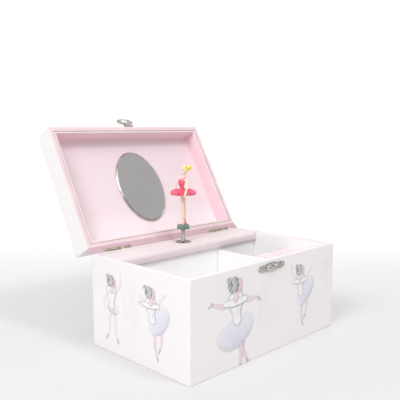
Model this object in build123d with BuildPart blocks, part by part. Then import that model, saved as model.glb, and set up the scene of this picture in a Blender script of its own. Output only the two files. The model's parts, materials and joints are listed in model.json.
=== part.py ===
from build123d import *
from math import cos, sin, radians, pi
import os

# Wind-up musical jewellery box: a paper covered case, a hinged lid with a mirror,
# and a comb movement that turns a folding dancer. Millimetres.
# Origin: middle of the underside. +Z up, front of the box toward -Y, lid standing open.

os.makedirs("parts", exist_ok=True)

# ---------------------------------------------------------------- driving sizes
CASE_WIDTH = 180.0
CASE_DEPTH = 114.5
CASE_HEIGHT = 75.5
LID_HEIGHT = 21.0
LID_OPEN_ANGLE = 119.5
LID_GAP = 0.5
BOARD = 4.0
PAPER = 0.35
BASE_BOARD = 3.0
LINING = 1.0
RIM_DROP = 0.8
SHEET_GAP = 0.3

HINGE_STANDOFF = 3.25
HINGE_RISE = 0.2
HINGE_CENTRES = (-63.5, 63.5)
HINGE_WIDTH = 30.0
HINGE_LEAF_HEIGHT = 12.0
KNUCKLE_WIDTH = 10.0
KNUCKLE_GAP = 0.2
KNUCKLE_RADIUS = 1.6
PIN_RADIUS = 0.8
RUNNING_GAP = 0.05
LEAF = 0.65

DECK_FRONT = 28.0
DECK_LIP = 2.5
DECK_BOARD = 4.0
DECK_PAD = 5.0
DECK_LIP_BOTTOM = 67.0
PARTITION = 2.0
DIVIDER_X = 33.0
DIVIDER_TOP = 65.0
CUSHION_TOP = 66.5
CUSHION_BOTTOM = 46.5
CUSHION_BACK = -7.0
CUSHION_ROLLS = 3

FIGURE_Y = 43.5
SPRING_BOTTOM = 76.0
DISC_BOTTOM = 87.4
DISC_TOP = 91.0
SPRING_RADIUS = 2.0
SHAFT_RADIUS = 1.25
EYELET_RADIUS = 7.2

MOVEMENT_Z = 36.0
CROWN_MODULE = 0.75
CROWN_TEETH = 36
PINION_TEETH = 10
TRAIN_MODULE = 0.5
WHEEL_TEETH = 22
LEAF_TEETH = 8
ROOT_DEPTH = 1.1
TIP_HEIGHT = 0.8
CYLINDER_RADIUS = 5.4
CYLINDER_START = 20.0
CYLINDER_LENGTH = 22.0
COMB_TEETH = 18
PINS_PER_TRACK = 5
STOP_X = 53.5
STOP_TRAVEL = 2.2

# ---------------------------------------------------------------- derived sizes
half_width = CASE_WIDTH / 2
half_depth = CASE_DEPTH / 2
board_x = half_width - PAPER
board_y = half_depth - PAPER
inner_x = board_x - BOARD
inner_y = board_y - BOARD
floor_top = BASE_BOARD + LINING
partition_front = DECK_FRONT + DECK_LIP
partition_back = partition_front + PARTITION
deck_bottom = CASE_HEIGHT - DECK_PAD - DECK_BOARD
deck_top = CASE_HEIGHT
bedplate_front = inner_y - 3.0
hinge_y = half_depth + HINGE_STANDOFF
hinge_z = CASE_HEIGHT + LID_GAP + HINGE_RISE
lid_panel_bottom = LID_HEIGHT - PAPER - BOARD
lid_lining_face = lid_panel_bottom - 1.2
crown_radius = CROWN_MODULE * CROWN_TEETH / 2
pinion_radius = CROWN_MODULE * PINION_TEETH / 2
crown_pitch_y = FIGURE_Y + pinion_radius
train_centres = TRAIN_MODULE * (WHEEL_TEETH + LEAF_TEETH) / 2
governor_z = MOVEMENT_Z + train_centres
fly_z = governor_z + train_centres

lid_turn = radians(LID_OPEN_ANGLE)
lid_up = Vector(0, sin(lid_turn), cos(lid_turn))
lid_back = Vector(0, cos(lid_turn), -sin(lid_turn))
hinge_point = Vector(0, hinge_y, hinge_z)
lid_origin = hinge_point - lid_back * hinge_y - lid_up * HINGE_RISE
CASE = Plane.XY
LID = Plane(origin=lid_origin, x_dir=(1, 0, 0), z_dir=lid_up)


# ---------------------------------------------------------------- helpers
def finish(piece, name):
    """Label a finished piece and write its STEP file."""
    piece.part.label = name
    export_step(piece.part, f"parts/{name}.step")


def block(frame, x_range, y_range, z_range, mode=Mode.ADD):
    """Add a rectangular block to the current part, its ranges given in a frame."""
    with BuildSketch(frame.offset(z_range[0])) as outline:
        with Locations(((x_range[0] + x_range[1]) / 2, (y_range[0] + y_range[1]) / 2)):
            Rectangle(x_range[1] - x_range[0], y_range[1] - y_range[0])
    extrude(outline.sketch, amount=z_range[1] - z_range[0], mode=mode)


def rod(axis_plane, centre, radius, span, mode=Mode.ADD):
    """Add a round rod along a plane's normal, from span[0] to span[1]."""
    with BuildSketch(axis_plane.offset(span[0])) as outline:
        with Locations(centre):
            Circle(radius)
    extrude(outline.sketch, amount=span[1] - span[0], mode=mode)


def board(name, frame, x_range, y_range, z_range, bores=()):
    """Make one rectangular board, with optional (plane, centre, radius, span) bores."""
    with BuildPart() as piece:
        block(frame, x_range, y_range, z_range)
        for bore in bores:
            rod(*bore, mode=Mode.SUBTRACT)
    finish(piece, name)


def along_y(z_shift=0.0):
    """A plane whose local x is X, local y is Z and normal is -Y."""
    return Plane(origin=(0, 0, z_shift), x_dir=(1, 0, 0), z_dir=(0, -1, 0))


def along_x():
    """A plane whose local x is Y, local y is Z and normal is +X."""
    return Plane.YZ


def gear_face(module, teeth, first_tooth):
    """A straight flanked gear face with ample backlash, one tooth at first_tooth degrees."""
    pitch_radius = module * teeth / 2
    root_radius = pitch_radius - ROOT_DEPTH * module
    tip_radius = pitch_radius + TIP_HEIGHT * module
    half_root = 0.30 * pi * module
    half_tip = 0.12 * pi * module
    with BuildSketch() as outline:
        Circle(root_radius)
        with BuildLine() as flank:
            Polyline(
                (root_radius * 0.9, -half_root),
                (root_radius, -half_root),
                (tip_radius, -half_tip),
                (tip_radius, half_tip),
                (root_radius, half_root),
                (root_radius * 0.9, half_root),
                close=True,
            )
        tooth = make_face(flank.edges(), mode=Mode.PRIVATE)
        with PolarLocations(0, teeth, start_angle=first_tooth):
            add(tooth)
    return outline.sketch


def toothed_wheel(axis_plane, centre, module, teeth, first_tooth, span):
    """Add a spur wheel to the current part."""
    with BuildSketch(axis_plane.offset(span[0])) as outline:
        with Locations(centre):
            add(gear_face(module, teeth, first_tooth))
    extrude(outline.sketch, amount=span[1] - span[0])


def scalloped_plate(frame, length, height, thickness, base):
    """Add an ornate plate: a bar with a bulged middle and lobed ends."""
    with BuildSketch(frame.offset(base)) as outline:
        Ellipse(length * 0.36, height / 2)
        for side in (-1, 1):
            with Locations((side * length * 0.31, 0)):
                Ellipse(length * 0.15, height * 0.36)
            with Locations((side * length * 0.43, 0)):
                Circle(length * 0.07)
            with Locations((side * length * 0.33, height * 0.27), (side * length * 0.33, -height * 0.27)):
                Circle(height * 0.16)
    extrude(outline.sketch, amount=thickness)


# ---------------------------------------------------------------- case boards and paper
SCREW_RADIUS = 1.4
SCREW_HEAD_RADIUS = 2.7
SCREW_HEAD_HEIGHT = 1.3
KEY_HOLE_RADIUS = 4.3
screw_places = [(-19.0, 20.0), (-19.0, 54.0), (49.0, 20.0)]
through_back = (-half_depth - 1, -inner_y + 1)
key_hole = (along_y(), (0, MOVEMENT_Z), KEY_HOLE_RADIUS, through_back)
screw_holes = [(along_y(), place, SCREW_RADIUS + 0.1, through_back) for place in screw_places]
back_bores = [key_hole] + screw_holes

board("base_board", CASE, (-inner_x, inner_x), (-inner_y, inner_y), (0, BASE_BOARD))
board("front_board", CASE, (-board_x, board_x), (-board_y, -inner_y), (0, CASE_HEIGHT))
board("left_board", CASE, (-board_x, -inner_x), (-inner_y, inner_y), (0, CASE_HEIGHT))
board("right_board", CASE, (inner_x, board_x), (-inner_y, inner_y), (0, CASE_HEIGHT))

STOP_SLOT_HALF = 0.9
STOP_SLOT_BOTTOM = 58.0
STOP_WIRE = 0.6
stop_top_y = (inner_y + board_y) / 2
with BuildPart() as back_board:
    block(CASE, (-board_x, board_x), (inner_y, board_y), (0, CASE_HEIGHT))
    for bore in back_bores:
        rod(*bore, mode=Mode.SUBTRACT)
    stop_slot_x = (STOP_X - STOP_SLOT_HALF, STOP_X + STOP_SLOT_HALF)
    stop_slot_y = (inner_y, stop_top_y + STOP_SLOT_HALF)
    block(CASE, stop_slot_x, stop_slot_y, (STOP_SLOT_BOTTOM, CASE_HEIGHT), mode=Mode.SUBTRACT)
finish(back_board, "back_board")

WRAP_BOTTOM = 0.3
with BuildPart() as case_wrap:
    block(CASE, (-half_width, half_width), (-half_depth, half_depth), (WRAP_BOTTOM, CASE_HEIGHT))
    block(CASE, (-board_x, board_x), (-board_y, board_y), (0, CASE_HEIGHT), mode=Mode.SUBTRACT)
    for bore in back_bores:
        rod(*bore, mode=Mode.SUBTRACT)
finish(case_wrap, "case_wrap")

# ---------------------------------------------------------------- linings and inner boards
wall_top = CASE_HEIGHT - RIM_DROP
board("floor_lining", CASE, (-inner_x, inner_x), (-inner_y, partition_front), (BASE_BOARD, floor_top))

with BuildPart() as wall_linings:
    block(CASE, (-inner_x, inner_x), (-inner_y, -inner_y + LINING), (floor_top, wall_top))
    for low, high in ((-inner_x, -inner_x + LINING), (inner_x - LINING, inner_x)):
        block(CASE, (low, high), (-inner_y + LINING, DECK_FRONT), (floor_top, wall_top))
        block(CASE, (low, high), (DECK_FRONT, partition_front), (floor_top, DECK_LIP_BOTTOM))
finish(wall_linings, "wall_linings")

board("partition_board", CASE, (-inner_x, inner_x), (partition_front, partition_back),
      (BASE_BOARD, deck_bottom))
divider_x = (DIVIDER_X - PARTITION / 2, DIVIDER_X + PARTITION / 2)
board("divider_board", CASE, divider_x, (-inner_y + LINING, partition_front), (floor_top, DIVIDER_TOP))

# ---------------------------------------------------------------- music deck
EYELET_TUBE = 4.0
deck_x = (-inner_x + SHEET_GAP, inner_x - SHEET_GAP)
deck_y = (partition_front, inner_y - SHEET_GAP)
eyelet_bore = (CASE, (0, FIGURE_Y), EYELET_TUBE + 0.1, (deck_bottom - 1, deck_top + 1))
board("deck_board", CASE, deck_x, deck_y, (deck_bottom, deck_bottom + DECK_BOARD), [eyelet_bore])

PAD_ROUND = 3.5
with BuildPart() as deck_pad:
    with BuildSketch(Plane.YZ.offset(deck_x[0])) as pad_profile:
        with BuildLine():
            Line((DECK_FRONT, DECK_LIP_BOTTOM), (DECK_FRONT, deck_top - PAD_ROUND))
            JernArc((DECK_FRONT, deck_top - PAD_ROUND), (0, 1), PAD_ROUND, -90)
            Polyline(
                (DECK_FRONT + PAD_ROUND, deck_top),
                (deck_y[1], deck_top),
                (deck_y[1], deck_bottom + DECK_BOARD),
                (partition_front, deck_bottom + DECK_BOARD),
                (partition_front, DECK_LIP_BOTTOM),
                (DECK_FRONT, DECK_LIP_BOTTOM),
            )
        make_face()
    extrude(amount=deck_x[1] - deck_x[0])
    rod(*eyelet_bore, mode=Mode.SUBTRACT)
finish(deck_pad, "deck_pad")

with BuildPart() as eyelet:
    with BuildSketch(Plane.XZ.offset(-FIGURE_Y)) as eyelet_profile:
        with BuildLine():
            Polyline(
                (EYELET_TUBE - 0.6, deck_bottom),
                (EYELET_TUBE, deck_bottom),
                (EYELET_TUBE, deck_top),
                (EYELET_RADIUS, deck_top),
                (EYELET_RADIUS - 0.3, deck_top + 0.3),
                (EYELET_TUBE, deck_top + 0.4),
                (EYELET_TUBE - 0.6, deck_top),
                close=True,
            )
        make_face()
    revolve(axis=Axis((0, FIGURE_Y, 0), (0, 0, 1)))
finish(eyelet, "eyelet")

# ---------------------------------------------------------------- ring compartment
RING_CLEARANCE = 1.0
RISER_CARD = 1.5
ring_x = (divider_x[1] + RING_CLEARANCE, inner_x - LINING - RING_CLEARANCE)
ring_y = (-inner_y + LINING + RING_CLEARANCE, CUSHION_BACK)
with BuildPart() as ring_riser:
    block(CASE, ring_x, ring_y, (floor_top, CUSHION_BOTTOM))
    hollow_x = (ring_x[0] + RISER_CARD, ring_x[1] - RISER_CARD)
    block(CASE, hollow_x, ring_y, (floor_top, CUSHION_BOTTOM - RISER_CARD), mode=Mode.SUBTRACT)
finish(ring_riser, "ring_riser")

roll_pitch = (ring_y[1] - ring_y[0]) / CUSHION_ROLLS
with BuildPart() as ring_cushion:
    block(CASE, ring_x, ring_y, (CUSHION_BOTTOM, CUSHION_TOP - roll_pitch / 2))
    for number in range(CUSHION_ROLLS):
        roll_y = ring_y[0] + (number + 0.5) * roll_pitch
        rod(Plane.YZ, (roll_y, CUSHION_TOP - roll_pitch / 2), roll_pitch / 2, ring_x)
finish(ring_cushion, "ring_cushion")

# ---------------------------------------------------------------- hinges
HINGE_NAIL_X = 11.5
HINGE_NAIL_RISES = (3.2, 8.8)
NAIL_RADIUS = 1.0
NAIL_HEAD = 0.5


def hinge_leaf(frame, leaf_z, axis_z, knuckles):
    """Add one stamped leaf and its rolled knuckles for every hinge centre."""
    web_foot = leaf_z[1] if axis_z > leaf_z[1] else leaf_z[0]
    inward = -1 if axis_z > leaf_z[1] else 1
    side = Plane(origin=frame.origin, x_dir=frame.y_dir, z_dir=frame.x_dir)
    for centre in HINGE_CENTRES:
        leaf_x = (centre - HINGE_WIDTH / 2, centre + HINGE_WIDTH / 2)
        block(frame, leaf_x, (half_depth, half_depth + LEAF), leaf_z)
        for low, high in knuckles:
            with BuildSketch(side.offset(centre + low)) as knuckle:
                with BuildLine():
                    Polyline(
                        (half_depth, web_foot + inward * 1.5),
                        (half_depth + LEAF, web_foot + inward * 1.5),
                        (hinge_y + KNUCKLE_RADIUS * 0.7, axis_z + inward * KNUCKLE_RADIUS * 0.6),
                        (hinge_y, axis_z),
                        (hinge_y - KNUCKLE_RADIUS * 0.8, axis_z),
                        (half_depth, web_foot),
                        close=True,
                    )
                make_face()
                with Locations((hinge_y, axis_z)):
                    Circle(KNUCKLE_RADIUS)
                    Circle(PIN_RADIUS + RUNNING_GAP, mode=Mode.SUBTRACT)
            extrude(knuckle.sketch, amount=high - low)


outer_knuckles = (
    (-HINGE_WIDTH / 2, -KNUCKLE_WIDTH / 2 - KNUCKLE_GAP),
    (KNUCKLE_WIDTH / 2 + KNUCKLE_GAP, HINGE_WIDTH / 2),
)
inner_knuckle = ((-KNUCKLE_WIDTH / 2, KNUCKLE_WIDTH / 2),)
case_leaf_top = CASE_HEIGHT - 2.0
case_leaf_z = (case_leaf_top - HINGE_LEAF_HEIGHT, case_leaf_top)
lid_leaf_z = (2.0, 2.0 + HINGE_LEAF_HEIGHT)

with BuildPart() as case_hinge_leaves:
    hinge_leaf(CASE, case_leaf_z, hinge_z, outer_knuckles)
finish(case_hinge_leaves, "case_hinge_leaves")

with BuildPart() as lid_hinge_leaves:
    hinge_leaf(LID, lid_leaf_z, HINGE_RISE, inner_knuckle)
finish(lid_hinge_leaves, "lid_hinge_leaves")

with BuildPart() as hinge_pins:
    for centre in HINGE_CENTRES:
        half_pin = HINGE_WIDTH / 2 + 0.4
        rod(Plane.YZ, (hinge_y, hinge_z), PIN_RADIUS, (centre - half_pin, centre + half_pin))
finish(hinge_pins, "hinge_pins")


def hinge_nails(name, frame, leaf_bottom):
    """Make the nail heads of one side's leaves."""
    with BuildPart() as nails:
        outward = Plane(origin=frame.origin, x_dir=frame.x_dir, z_dir=frame.y_dir)
        head_start = half_depth + LEAF
        for centre in HINGE_CENTRES:
            for side in (-1, 1):
                for rise in HINGE_NAIL_RISES:
                    place = (centre + side * HINGE_NAIL_X, -leaf_bottom - rise)
                    rod(outward, place, NAIL_RADIUS, (head_start, head_start + NAIL_HEAD))
    finish(nails, name)


hinge_nails("case_hinge_nails", CASE, case_leaf_z[0])
hinge_nails("lid_hinge_nails", LID, lid_leaf_z[0])

# ---------------------------------------------------------------- front catch
CATCH_Z = 69.8
PLATE = 0.8
PLATE_LENGTH = 33.0
PLATE_HEIGHT = 7.2
PLATE_NAIL_X = 13.6
catch_plane = Plane(origin=(0, -half_depth, CATCH_Z), x_dir=(1, 0, 0), z_dir=(0, -1, 0))
with BuildPart() as catch_plate:
    scalloped_plate(catch_plane, PLATE_LENGTH, PLATE_HEIGHT, PLATE, 0)
    with BuildSketch(catch_plane.offset(PLATE)) as catch_knob:
        SlotOverall(5.4, 2.2)
    extrude(catch_knob.sketch, amount=2.4)
finish(catch_plate, "catch_plate")

with BuildPart() as catch_nails:
    for side in (-1, 1):
        rod(catch_plane, (side * PLATE_NAIL_X, 0), NAIL_RADIUS, (PLATE, PLATE + NAIL_HEAD))
finish(catch_nails, "catch_nails")

# ---------------------------------------------------------------- lid
lid_x = (-board_x, board_x)
board("lid_top_panel", LID, lid_x, (-board_y, board_y), (lid_panel_bottom, LID_HEIGHT - PAPER))
board("lid_front_board", LID, lid_x, (-board_y, -inner_y), (0, lid_panel_bottom))
board("lid_back_board", LID, lid_x, (inner_y, board_y), (0, lid_panel_bottom))
board("lid_left_board", LID, (-board_x, -inner_x), (-inner_y, inner_y), (0, lid_panel_bottom))
board("lid_right_board", LID, (inner_x, board_x), (-inner_y, inner_y), (0, lid_panel_bottom))

with BuildPart() as lid_wrap:
    block(LID, (-half_width, half_width), (-half_depth, half_depth), (0, LID_HEIGHT))
    block(LID, lid_x, (-board_y, board_y), (0, LID_HEIGHT - PAPER), mode=Mode.SUBTRACT)
finish(lid_wrap, "lid_wrap")

LINING_GAP = 0.5
LID_LINING = 1.2
lining_x = inner_x - LINING_GAP
lining_y = inner_y - LINING_GAP
with BuildPart() as lid_wall_lining:
    block(LID, (-lining_x, lining_x), (-lining_y, lining_y), (0.2, lid_lining_face))
    clear_x = lining_x - LID_LINING
    clear_y = lining_y - LID_LINING
    block(LID, (-clear_x, clear_x), (-clear_y, clear_y), (0, lid_lining_face), mode=Mode.SUBTRACT)
finish(lid_wall_lining, "lid_wall_lining")

board("lid_panel_lining", LID, (-lining_x, lining_x), (-lining_y, lining_y),
      (lid_lining_face, lid_panel_bottom))

MIRROR_THICKNESS = 2.0
MIRROR_HALF_WIDTH = 26.5
MIRROR_HALF_HEIGHT = 36.5
with BuildPart() as mirror:
    with BuildSketch(LID.offset(lid_lining_face - MIRROR_THICKNESS)):
        Ellipse(MIRROR_HALF_WIDTH, MIRROR_HALF_HEIGHT)
    extrude(amount=MIRROR_THICKNESS)
    shown_face = mirror.faces().sort_by(Axis((0, 0, 0), tuple(lid_up)))[0]
    chamfer(shown_face.edges(), length=0.8, length2=1.6)
finish(mirror, "mirror")

# ---------------------------------------------------------------- lid hasp
HASP_AXIS_OUT = 2.1
HASP_AXIS_RISE = 2.0
HASP_LENGTH = 11.2
HASP_HALF_WIDTH = 9.6
HASP_LOBE = 1.9
HASP_OPEN_ANGLE = 116.0
HASP_KNUCKLE = 1.2
HASP_PIN = 0.5
hasp_y = -half_depth - HASP_AXIS_OUT
hasp_side = Plane(origin=LID.origin, x_dir=LID.y_dir, z_dir=LID.x_dir)
hasp_plate_plane = Plane(
    origin=LID.from_local_coords(Vector(0, -half_depth, 7.6)),
    x_dir=(1, 0, 0),
    z_dir=-lid_back,
)
with BuildPart() as hasp_plate:
    scalloped_plate(hasp_plate_plane, PLATE_LENGTH, PLATE_HEIGHT, PLATE, 0)
    for low, high in ((-5.0, -2.1), (2.1, 5.0)):
        with BuildSketch(hasp_side.offset(low)) as hasp_ear:
            with BuildLine():
                Polyline(
                    (-half_depth, 4.4),
                    (-half_depth, 1.4),
                    (hasp_y, HASP_AXIS_RISE - 0.6),
                    (hasp_y, HASP_AXIS_RISE + 0.6),
                    (-half_depth - PLATE, 5.0),
                    (-half_depth, 5.0),
                    close=True,
                )
            make_face()
            with Locations((hasp_y, HASP_AXIS_RISE)):
                Circle(HASP_KNUCKLE)
                Circle(HASP_PIN + RUNNING_GAP, mode=Mode.SUBTRACT)
        extrude(hasp_ear.sketch, amount=high - low)
finish(hasp_plate, "hasp_plate")

with BuildPart() as hasp_nails:
    for side in (-1, 1):
        rod(hasp_plate_plane, (side * PLATE_NAIL_X, 0), NAIL_RADIUS, (PLATE, PLATE + NAIL_HEAD))
finish(hasp_nails, "hasp_nails")

with BuildPart() as hasp_pin:
    rod(hasp_side, (hasp_y, HASP_AXIS_RISE), HASP_PIN, (-5.2, 5.2))
finish(hasp_pin, "hasp_pin")

hasp_turn = radians(HASP_OPEN_ANGLE)
hasp_down = -lid_up * cos(hasp_turn) - lid_back * sin(hasp_turn)
hasp_origin = LID.from_local_coords(Vector(0, hasp_y, HASP_AXIS_RISE))
leaf_normal = hasp_down.cross(Vector(1, 0, 0))
LEAF_PLANE = Plane(origin=hasp_origin, x_dir=(1, 0, 0), z_dir=leaf_normal)
leaf_sign = 1 if LEAF_PLANE.y_dir.dot(hasp_down) > 0 else -1
CATCH_REACH = HASP_AXIS_RISE + CASE_HEIGHT + LID_GAP - CATCH_Z
with BuildPart() as hasp_leaf:
    with BuildSketch(LEAF_PLANE.offset(-PLATE / 2)) as leaf_outline:
        with Locations((0, leaf_sign * CATCH_REACH * 0.82)):
            Ellipse(HASP_HALF_WIDTH, HASP_LENGTH - CATCH_REACH * 0.82)
        lobe_reach = leaf_sign * (HASP_LENGTH - HASP_LOBE)
        with Locations((-HASP_HALF_WIDTH * 0.55, lobe_reach), (HASP_HALF_WIDTH * 0.55, lobe_reach)):
            Circle(HASP_LOBE)
        with Locations((0, leaf_sign * 2.4)):
            Rectangle(3.8, 4.8)
        with Locations((0, leaf_sign * CATCH_REACH)):
            SlotOverall(7.4, 4.0, mode=Mode.SUBTRACT)
    extrude(leaf_outline.sketch, amount=PLATE)
    with BuildSketch(hasp_side.offset(-1.9)) as leaf_knuckle:
        with Locations((hasp_y, HASP_AXIS_RISE)):
            Circle(HASP_KNUCKLE)
    extrude(leaf_knuckle.sketch, amount=3.8)
    rod(hasp_side, (hasp_y, HASP_AXIS_RISE), HASP_PIN + RUNNING_GAP, (-2.5, 2.5), mode=Mode.SUBTRACT)
finish(hasp_leaf, "hasp_leaf")

# ---------------------------------------------------------------- movement frame
ARBOR_RADIUS = 2.5
BEDPLATE_X = (-24.0, 58.0)
BEDPLATE_Z = (8.0, 60.5)
with BuildPart() as movement_bedplate:
    block(CASE, BEDPLATE_X, (bedplate_front, inner_y), BEDPLATE_Z)
    through_plate = (-inner_y - 1, -bedplate_front + 1)
    rod(along_y(), (0, MOVEMENT_Z), ARBOR_RADIUS + RUNNING_GAP, through_plate, mode=Mode.SUBTRACT)
    for place in screw_places:
        rod(along_y(), place, SCREW_RADIUS, through_plate, mode=Mode.SUBTRACT)
finish(movement_bedplate, "movement_bedplate")

with BuildPart() as movement_screws:
    head_face = -half_depth - SCREW_HEAD_HEIGHT
    for place in screw_places:
        rod(along_y(), place, SCREW_RADIUS, (-half_depth, -bedplate_front))
        rod(along_y(), place, SCREW_HEAD_RADIUS, (head_face, -half_depth))
        with BuildSketch(along_y().offset(head_face)) as driver_slot:
            with Locations(place):
                Rectangle(5.6, 0.7)
        extrude(driver_slot.sketch, amount=0.6, mode=Mode.SUBTRACT)
finish(movement_screws, "movement_screws")

# ---------------------------------------------------------------- spring barrel
DRUM_RADIUS = 11.2
DRUM_WALL = 0.8
DRUM_FRONT = 35.0
crown_root_y = crown_pitch_y + ROOT_DEPTH * CROWN_MODULE
crown_tip_y = crown_pitch_y - TIP_HEIGHT * CROWN_MODULE
web_back = bedplate_front - 0.4
with BuildPart() as spring_barrel:
    rod(along_y(), (0, MOVEMENT_Z), DRUM_RADIUS, (-crown_root_y, -DRUM_FRONT))
    rod(along_y(), (0, MOVEMENT_Z), crown_radius + 1.2, (-web_back, -crown_root_y))
    drum_hollow = (-crown_root_y, -DRUM_FRONT - 1)
    drum_bore = (-web_back, -DRUM_FRONT)
    rod(along_y(), (0, MOVEMENT_Z), DRUM_RADIUS - DRUM_WALL, drum_hollow, mode=Mode.SUBTRACT)
    rod(along_y(), (0, MOVEMENT_Z), ARBOR_RADIUS + RUNNING_GAP, drum_bore, mode=Mode.SUBTRACT)
    for number in range(CROWN_TEETH):
        tooth_angle = 360 / CROWN_TEETH * number
        tooth_plane = Plane(
            origin=(0, 0, MOVEMENT_Z),
            x_dir=(0, -1, 0),
            z_dir=(cos(radians(tooth_angle)), 0, sin(radians(tooth_angle))),
        )
        with BuildSketch(tooth_plane.offset(crown_radius - 1.2)) as crown_tooth:
            with BuildLine():
                Polyline(
                    (-crown_root_y - 0.1, -0.28 * pi * CROWN_MODULE),
                    (-crown_tip_y, -0.12 * pi * CROWN_MODULE),
                    (-crown_tip_y, 0.12 * pi * CROWN_MODULE),
                    (-crown_root_y - 0.1, 0.28 * pi * CROWN_MODULE),
                    close=True,
                )
            make_face()
        extrude(crown_tooth.sketch, amount=2.4)
finish(spring_barrel, "spring_barrel")

SPRING_STRIP = 0.45
SPRING_TURNS = 5
SPRING_PITCH = 1.2
with BuildPart() as mainspring:
    with BuildSketch(along_y(MOVEMENT_Z).offset(-crown_root_y + 0.6)):
        with BuildLine() as coil:
            radius = ARBOR_RADIUS + 0.6
            start_x = radius
            for half_turn in range(2 * SPRING_TURNS):
                direction = 1 if half_turn % 2 == 0 else -1
                end_x = -direction * (radius + SPRING_PITCH / 2)
                middle_x = (start_x + end_x) / 2
                arc_radius = abs(start_x - end_x) / 2
                ThreePointArc((start_x, 0), (middle_x, direction * arc_radius), (end_x, 0))
                start_x = end_x
                radius = abs(end_x)
        trace(coil.wires()[0], line_width=SPRING_STRIP)
    extrude(amount=crown_root_y - DRUM_FRONT - 2.4)
finish(mainspring, "mainspring")

# ---------------------------------------------------------------- winding arbor and key
STUD_RADIUS = 1.5
stud_end = -half_depth - 6.0
with BuildPart() as winding_arbor:
    rod(along_y(), (0, MOVEMENT_Z), ARBOR_RADIUS, (-half_depth + 0.4, -DRUM_FRONT + 0.6))
    rod(along_y(), (0, MOVEMENT_Z), STUD_RADIUS, (stud_end, -half_depth + 0.4))
finish(winding_arbor, "winding_arbor")

KEY_HUB = (half_depth + 1.6, half_depth + 9.6)
KEY_THICKNESS = 1.8
with BuildPart() as winding_key:
    with BuildSketch(CASE.offset(MOVEMENT_Z - KEY_THICKNESS / 2)) as key_wing:
        for side in (-1, 1):
            with Locations((side * 7.0, KEY_HUB[1] + 3.5)):
                Ellipse(7.0, 7.4)
        with Locations((0, KEY_HUB[1])):
            Rectangle(5.0, 7.0)
        for side in (-1, 1):
            with Locations((side * 7.2, KEY_HUB[1] + 4.2)):
                Circle(2.6, mode=Mode.SUBTRACT)
    extrude(key_wing.sketch, amount=KEY_THICKNESS)
    rod(along_y(), (0, MOVEMENT_Z), 3.0, (-KEY_HUB[1], -KEY_HUB[0]))
    rod(along_y(), (0, MOVEMENT_Z), STUD_RADIUS, (stud_end, -KEY_HUB[0]), mode=Mode.SUBTRACT)
finish(winding_key, "winding_key")

WRAP_WIRE = 0.35
with BuildPart() as arbor_wrap_spring:
    wrap_start = inner_y + 0.2 + WRAP_WIRE
    with BuildSketch(CASE.offset(MOVEMENT_Z)) as wrap_profile:
        for turn in range(4):
            with Locations((ARBOR_RADIUS + RUNNING_GAP + WRAP_WIRE, wrap_start + turn * 0.68)):
                Circle(WRAP_WIRE)
    revolve(wrap_profile.sketch, axis=Axis((0, 0, MOVEMENT_Z), (0, 1, 0)))
finish(arbor_wrap_spring, "arbor_wrap_spring")

# ---------------------------------------------------------------- pinned cylinder
ARBOR_START = 12.0
CYLINDER_ARBOR = 1.0
FRAME_A = (45.0, 46.2)
FRAME_B = (54.4, 55.6)
PIN_HEIGHT = 0.5
train_centre = (FIGURE_Y, MOVEMENT_Z)
cylinder_x = (CYLINDER_START, CYLINDER_START + CYLINDER_LENGTH)
track_pitch = CYLINDER_LENGTH / (COMB_TEETH + 1)
with BuildPart() as pinned_cylinder:
    rod(Plane.YZ, train_centre, CYLINDER_RADIUS, cylinder_x)
    rod(Plane.YZ, train_centre, CYLINDER_ARBOR, cylinder_x, mode=Mode.SUBTRACT)
    for track in range(COMB_TEETH):
        for number in range(PINS_PER_TRACK):
            pin_angle = (number * 360 / PINS_PER_TRACK + track * 47 + (track * number * 13) % 31) % 360
            pin_plane = Plane(
                origin=(cylinder_x[0] + (track + 1) * track_pitch, FIGURE_Y, MOVEMENT_Z),
                x_dir=(1, 0, 0),
                z_dir=(0, cos(radians(pin_angle)), sin(radians(pin_angle))),
            )
            rod(pin_plane, (0, 0), 0.22, (CYLINDER_RADIUS - 0.4, CYLINDER_RADIUS + PIN_HEIGHT))
finish(pinned_cylinder, "pinned_cylinder")

with BuildPart() as cylinder_arbor:
    rod(Plane.YZ, train_centre, CYLINDER_ARBOR, (ARBOR_START, FRAME_B[1]))
    toothed_wheel(Plane.YZ, train_centre, CROWN_MODULE, PINION_TEETH, 180 / PINION_TEETH,
                  (crown_radius - 1.2, crown_radius + 1.2))
finish(cylinder_arbor, "cylinder_arbor")

with BuildPart() as cylinder_wheel:
    toothed_wheel(Plane.YZ, train_centre, TRAIN_MODULE, WHEEL_TEETH, 90, (47.0, 48.2))
    rod(Plane.YZ, train_centre, CYLINDER_ARBOR, (46.0, 49.0), mode=Mode.SUBTRACT)
finish(cylinder_wheel, "cylinder_wheel")

governor_centre = (FIGURE_Y, governor_z)
fly_centre = (FIGURE_Y, fly_z)
frame_x = (FRAME_A[0], FRAME_B[1])
leaf_start = -90 + 180 / LEAF_TEETH
PIVOT_RADIUS = 0.6
with BuildPart() as governor_wheel:
    rod(Plane.YZ, governor_centre, PIVOT_RADIUS, frame_x)
    toothed_wheel(Plane.YZ, governor_centre, TRAIN_MODULE, LEAF_TEETH, leaf_start, (46.8, 48.4))
    toothed_wheel(Plane.YZ, governor_centre, TRAIN_MODULE, WHEEL_TEETH, 90, (49.0, 50.0))
finish(governor_wheel, "governor_wheel")

BRAKE_RADIUS = 3.0
BLADE_REACH = 5.6
with BuildPart() as governor_fly:
    rod(Plane.YZ, fly_centre, PIVOT_RADIUS, frame_x)
    toothed_wheel(Plane.YZ, fly_centre, TRAIN_MODULE, LEAF_TEETH, leaf_start, (48.8, 50.2))
    blade_y = (FIGURE_Y - BLADE_REACH, FIGURE_Y + BLADE_REACH)
    block(CASE, (50.8, 52.8), blade_y, (fly_z - 0.4, fly_z + 0.4))
    rod(Plane.YZ, fly_centre, BRAKE_RADIUS, (STOP_X - 0.4, STOP_X + 0.4))
finish(governor_fly, "governor_fly")

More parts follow.
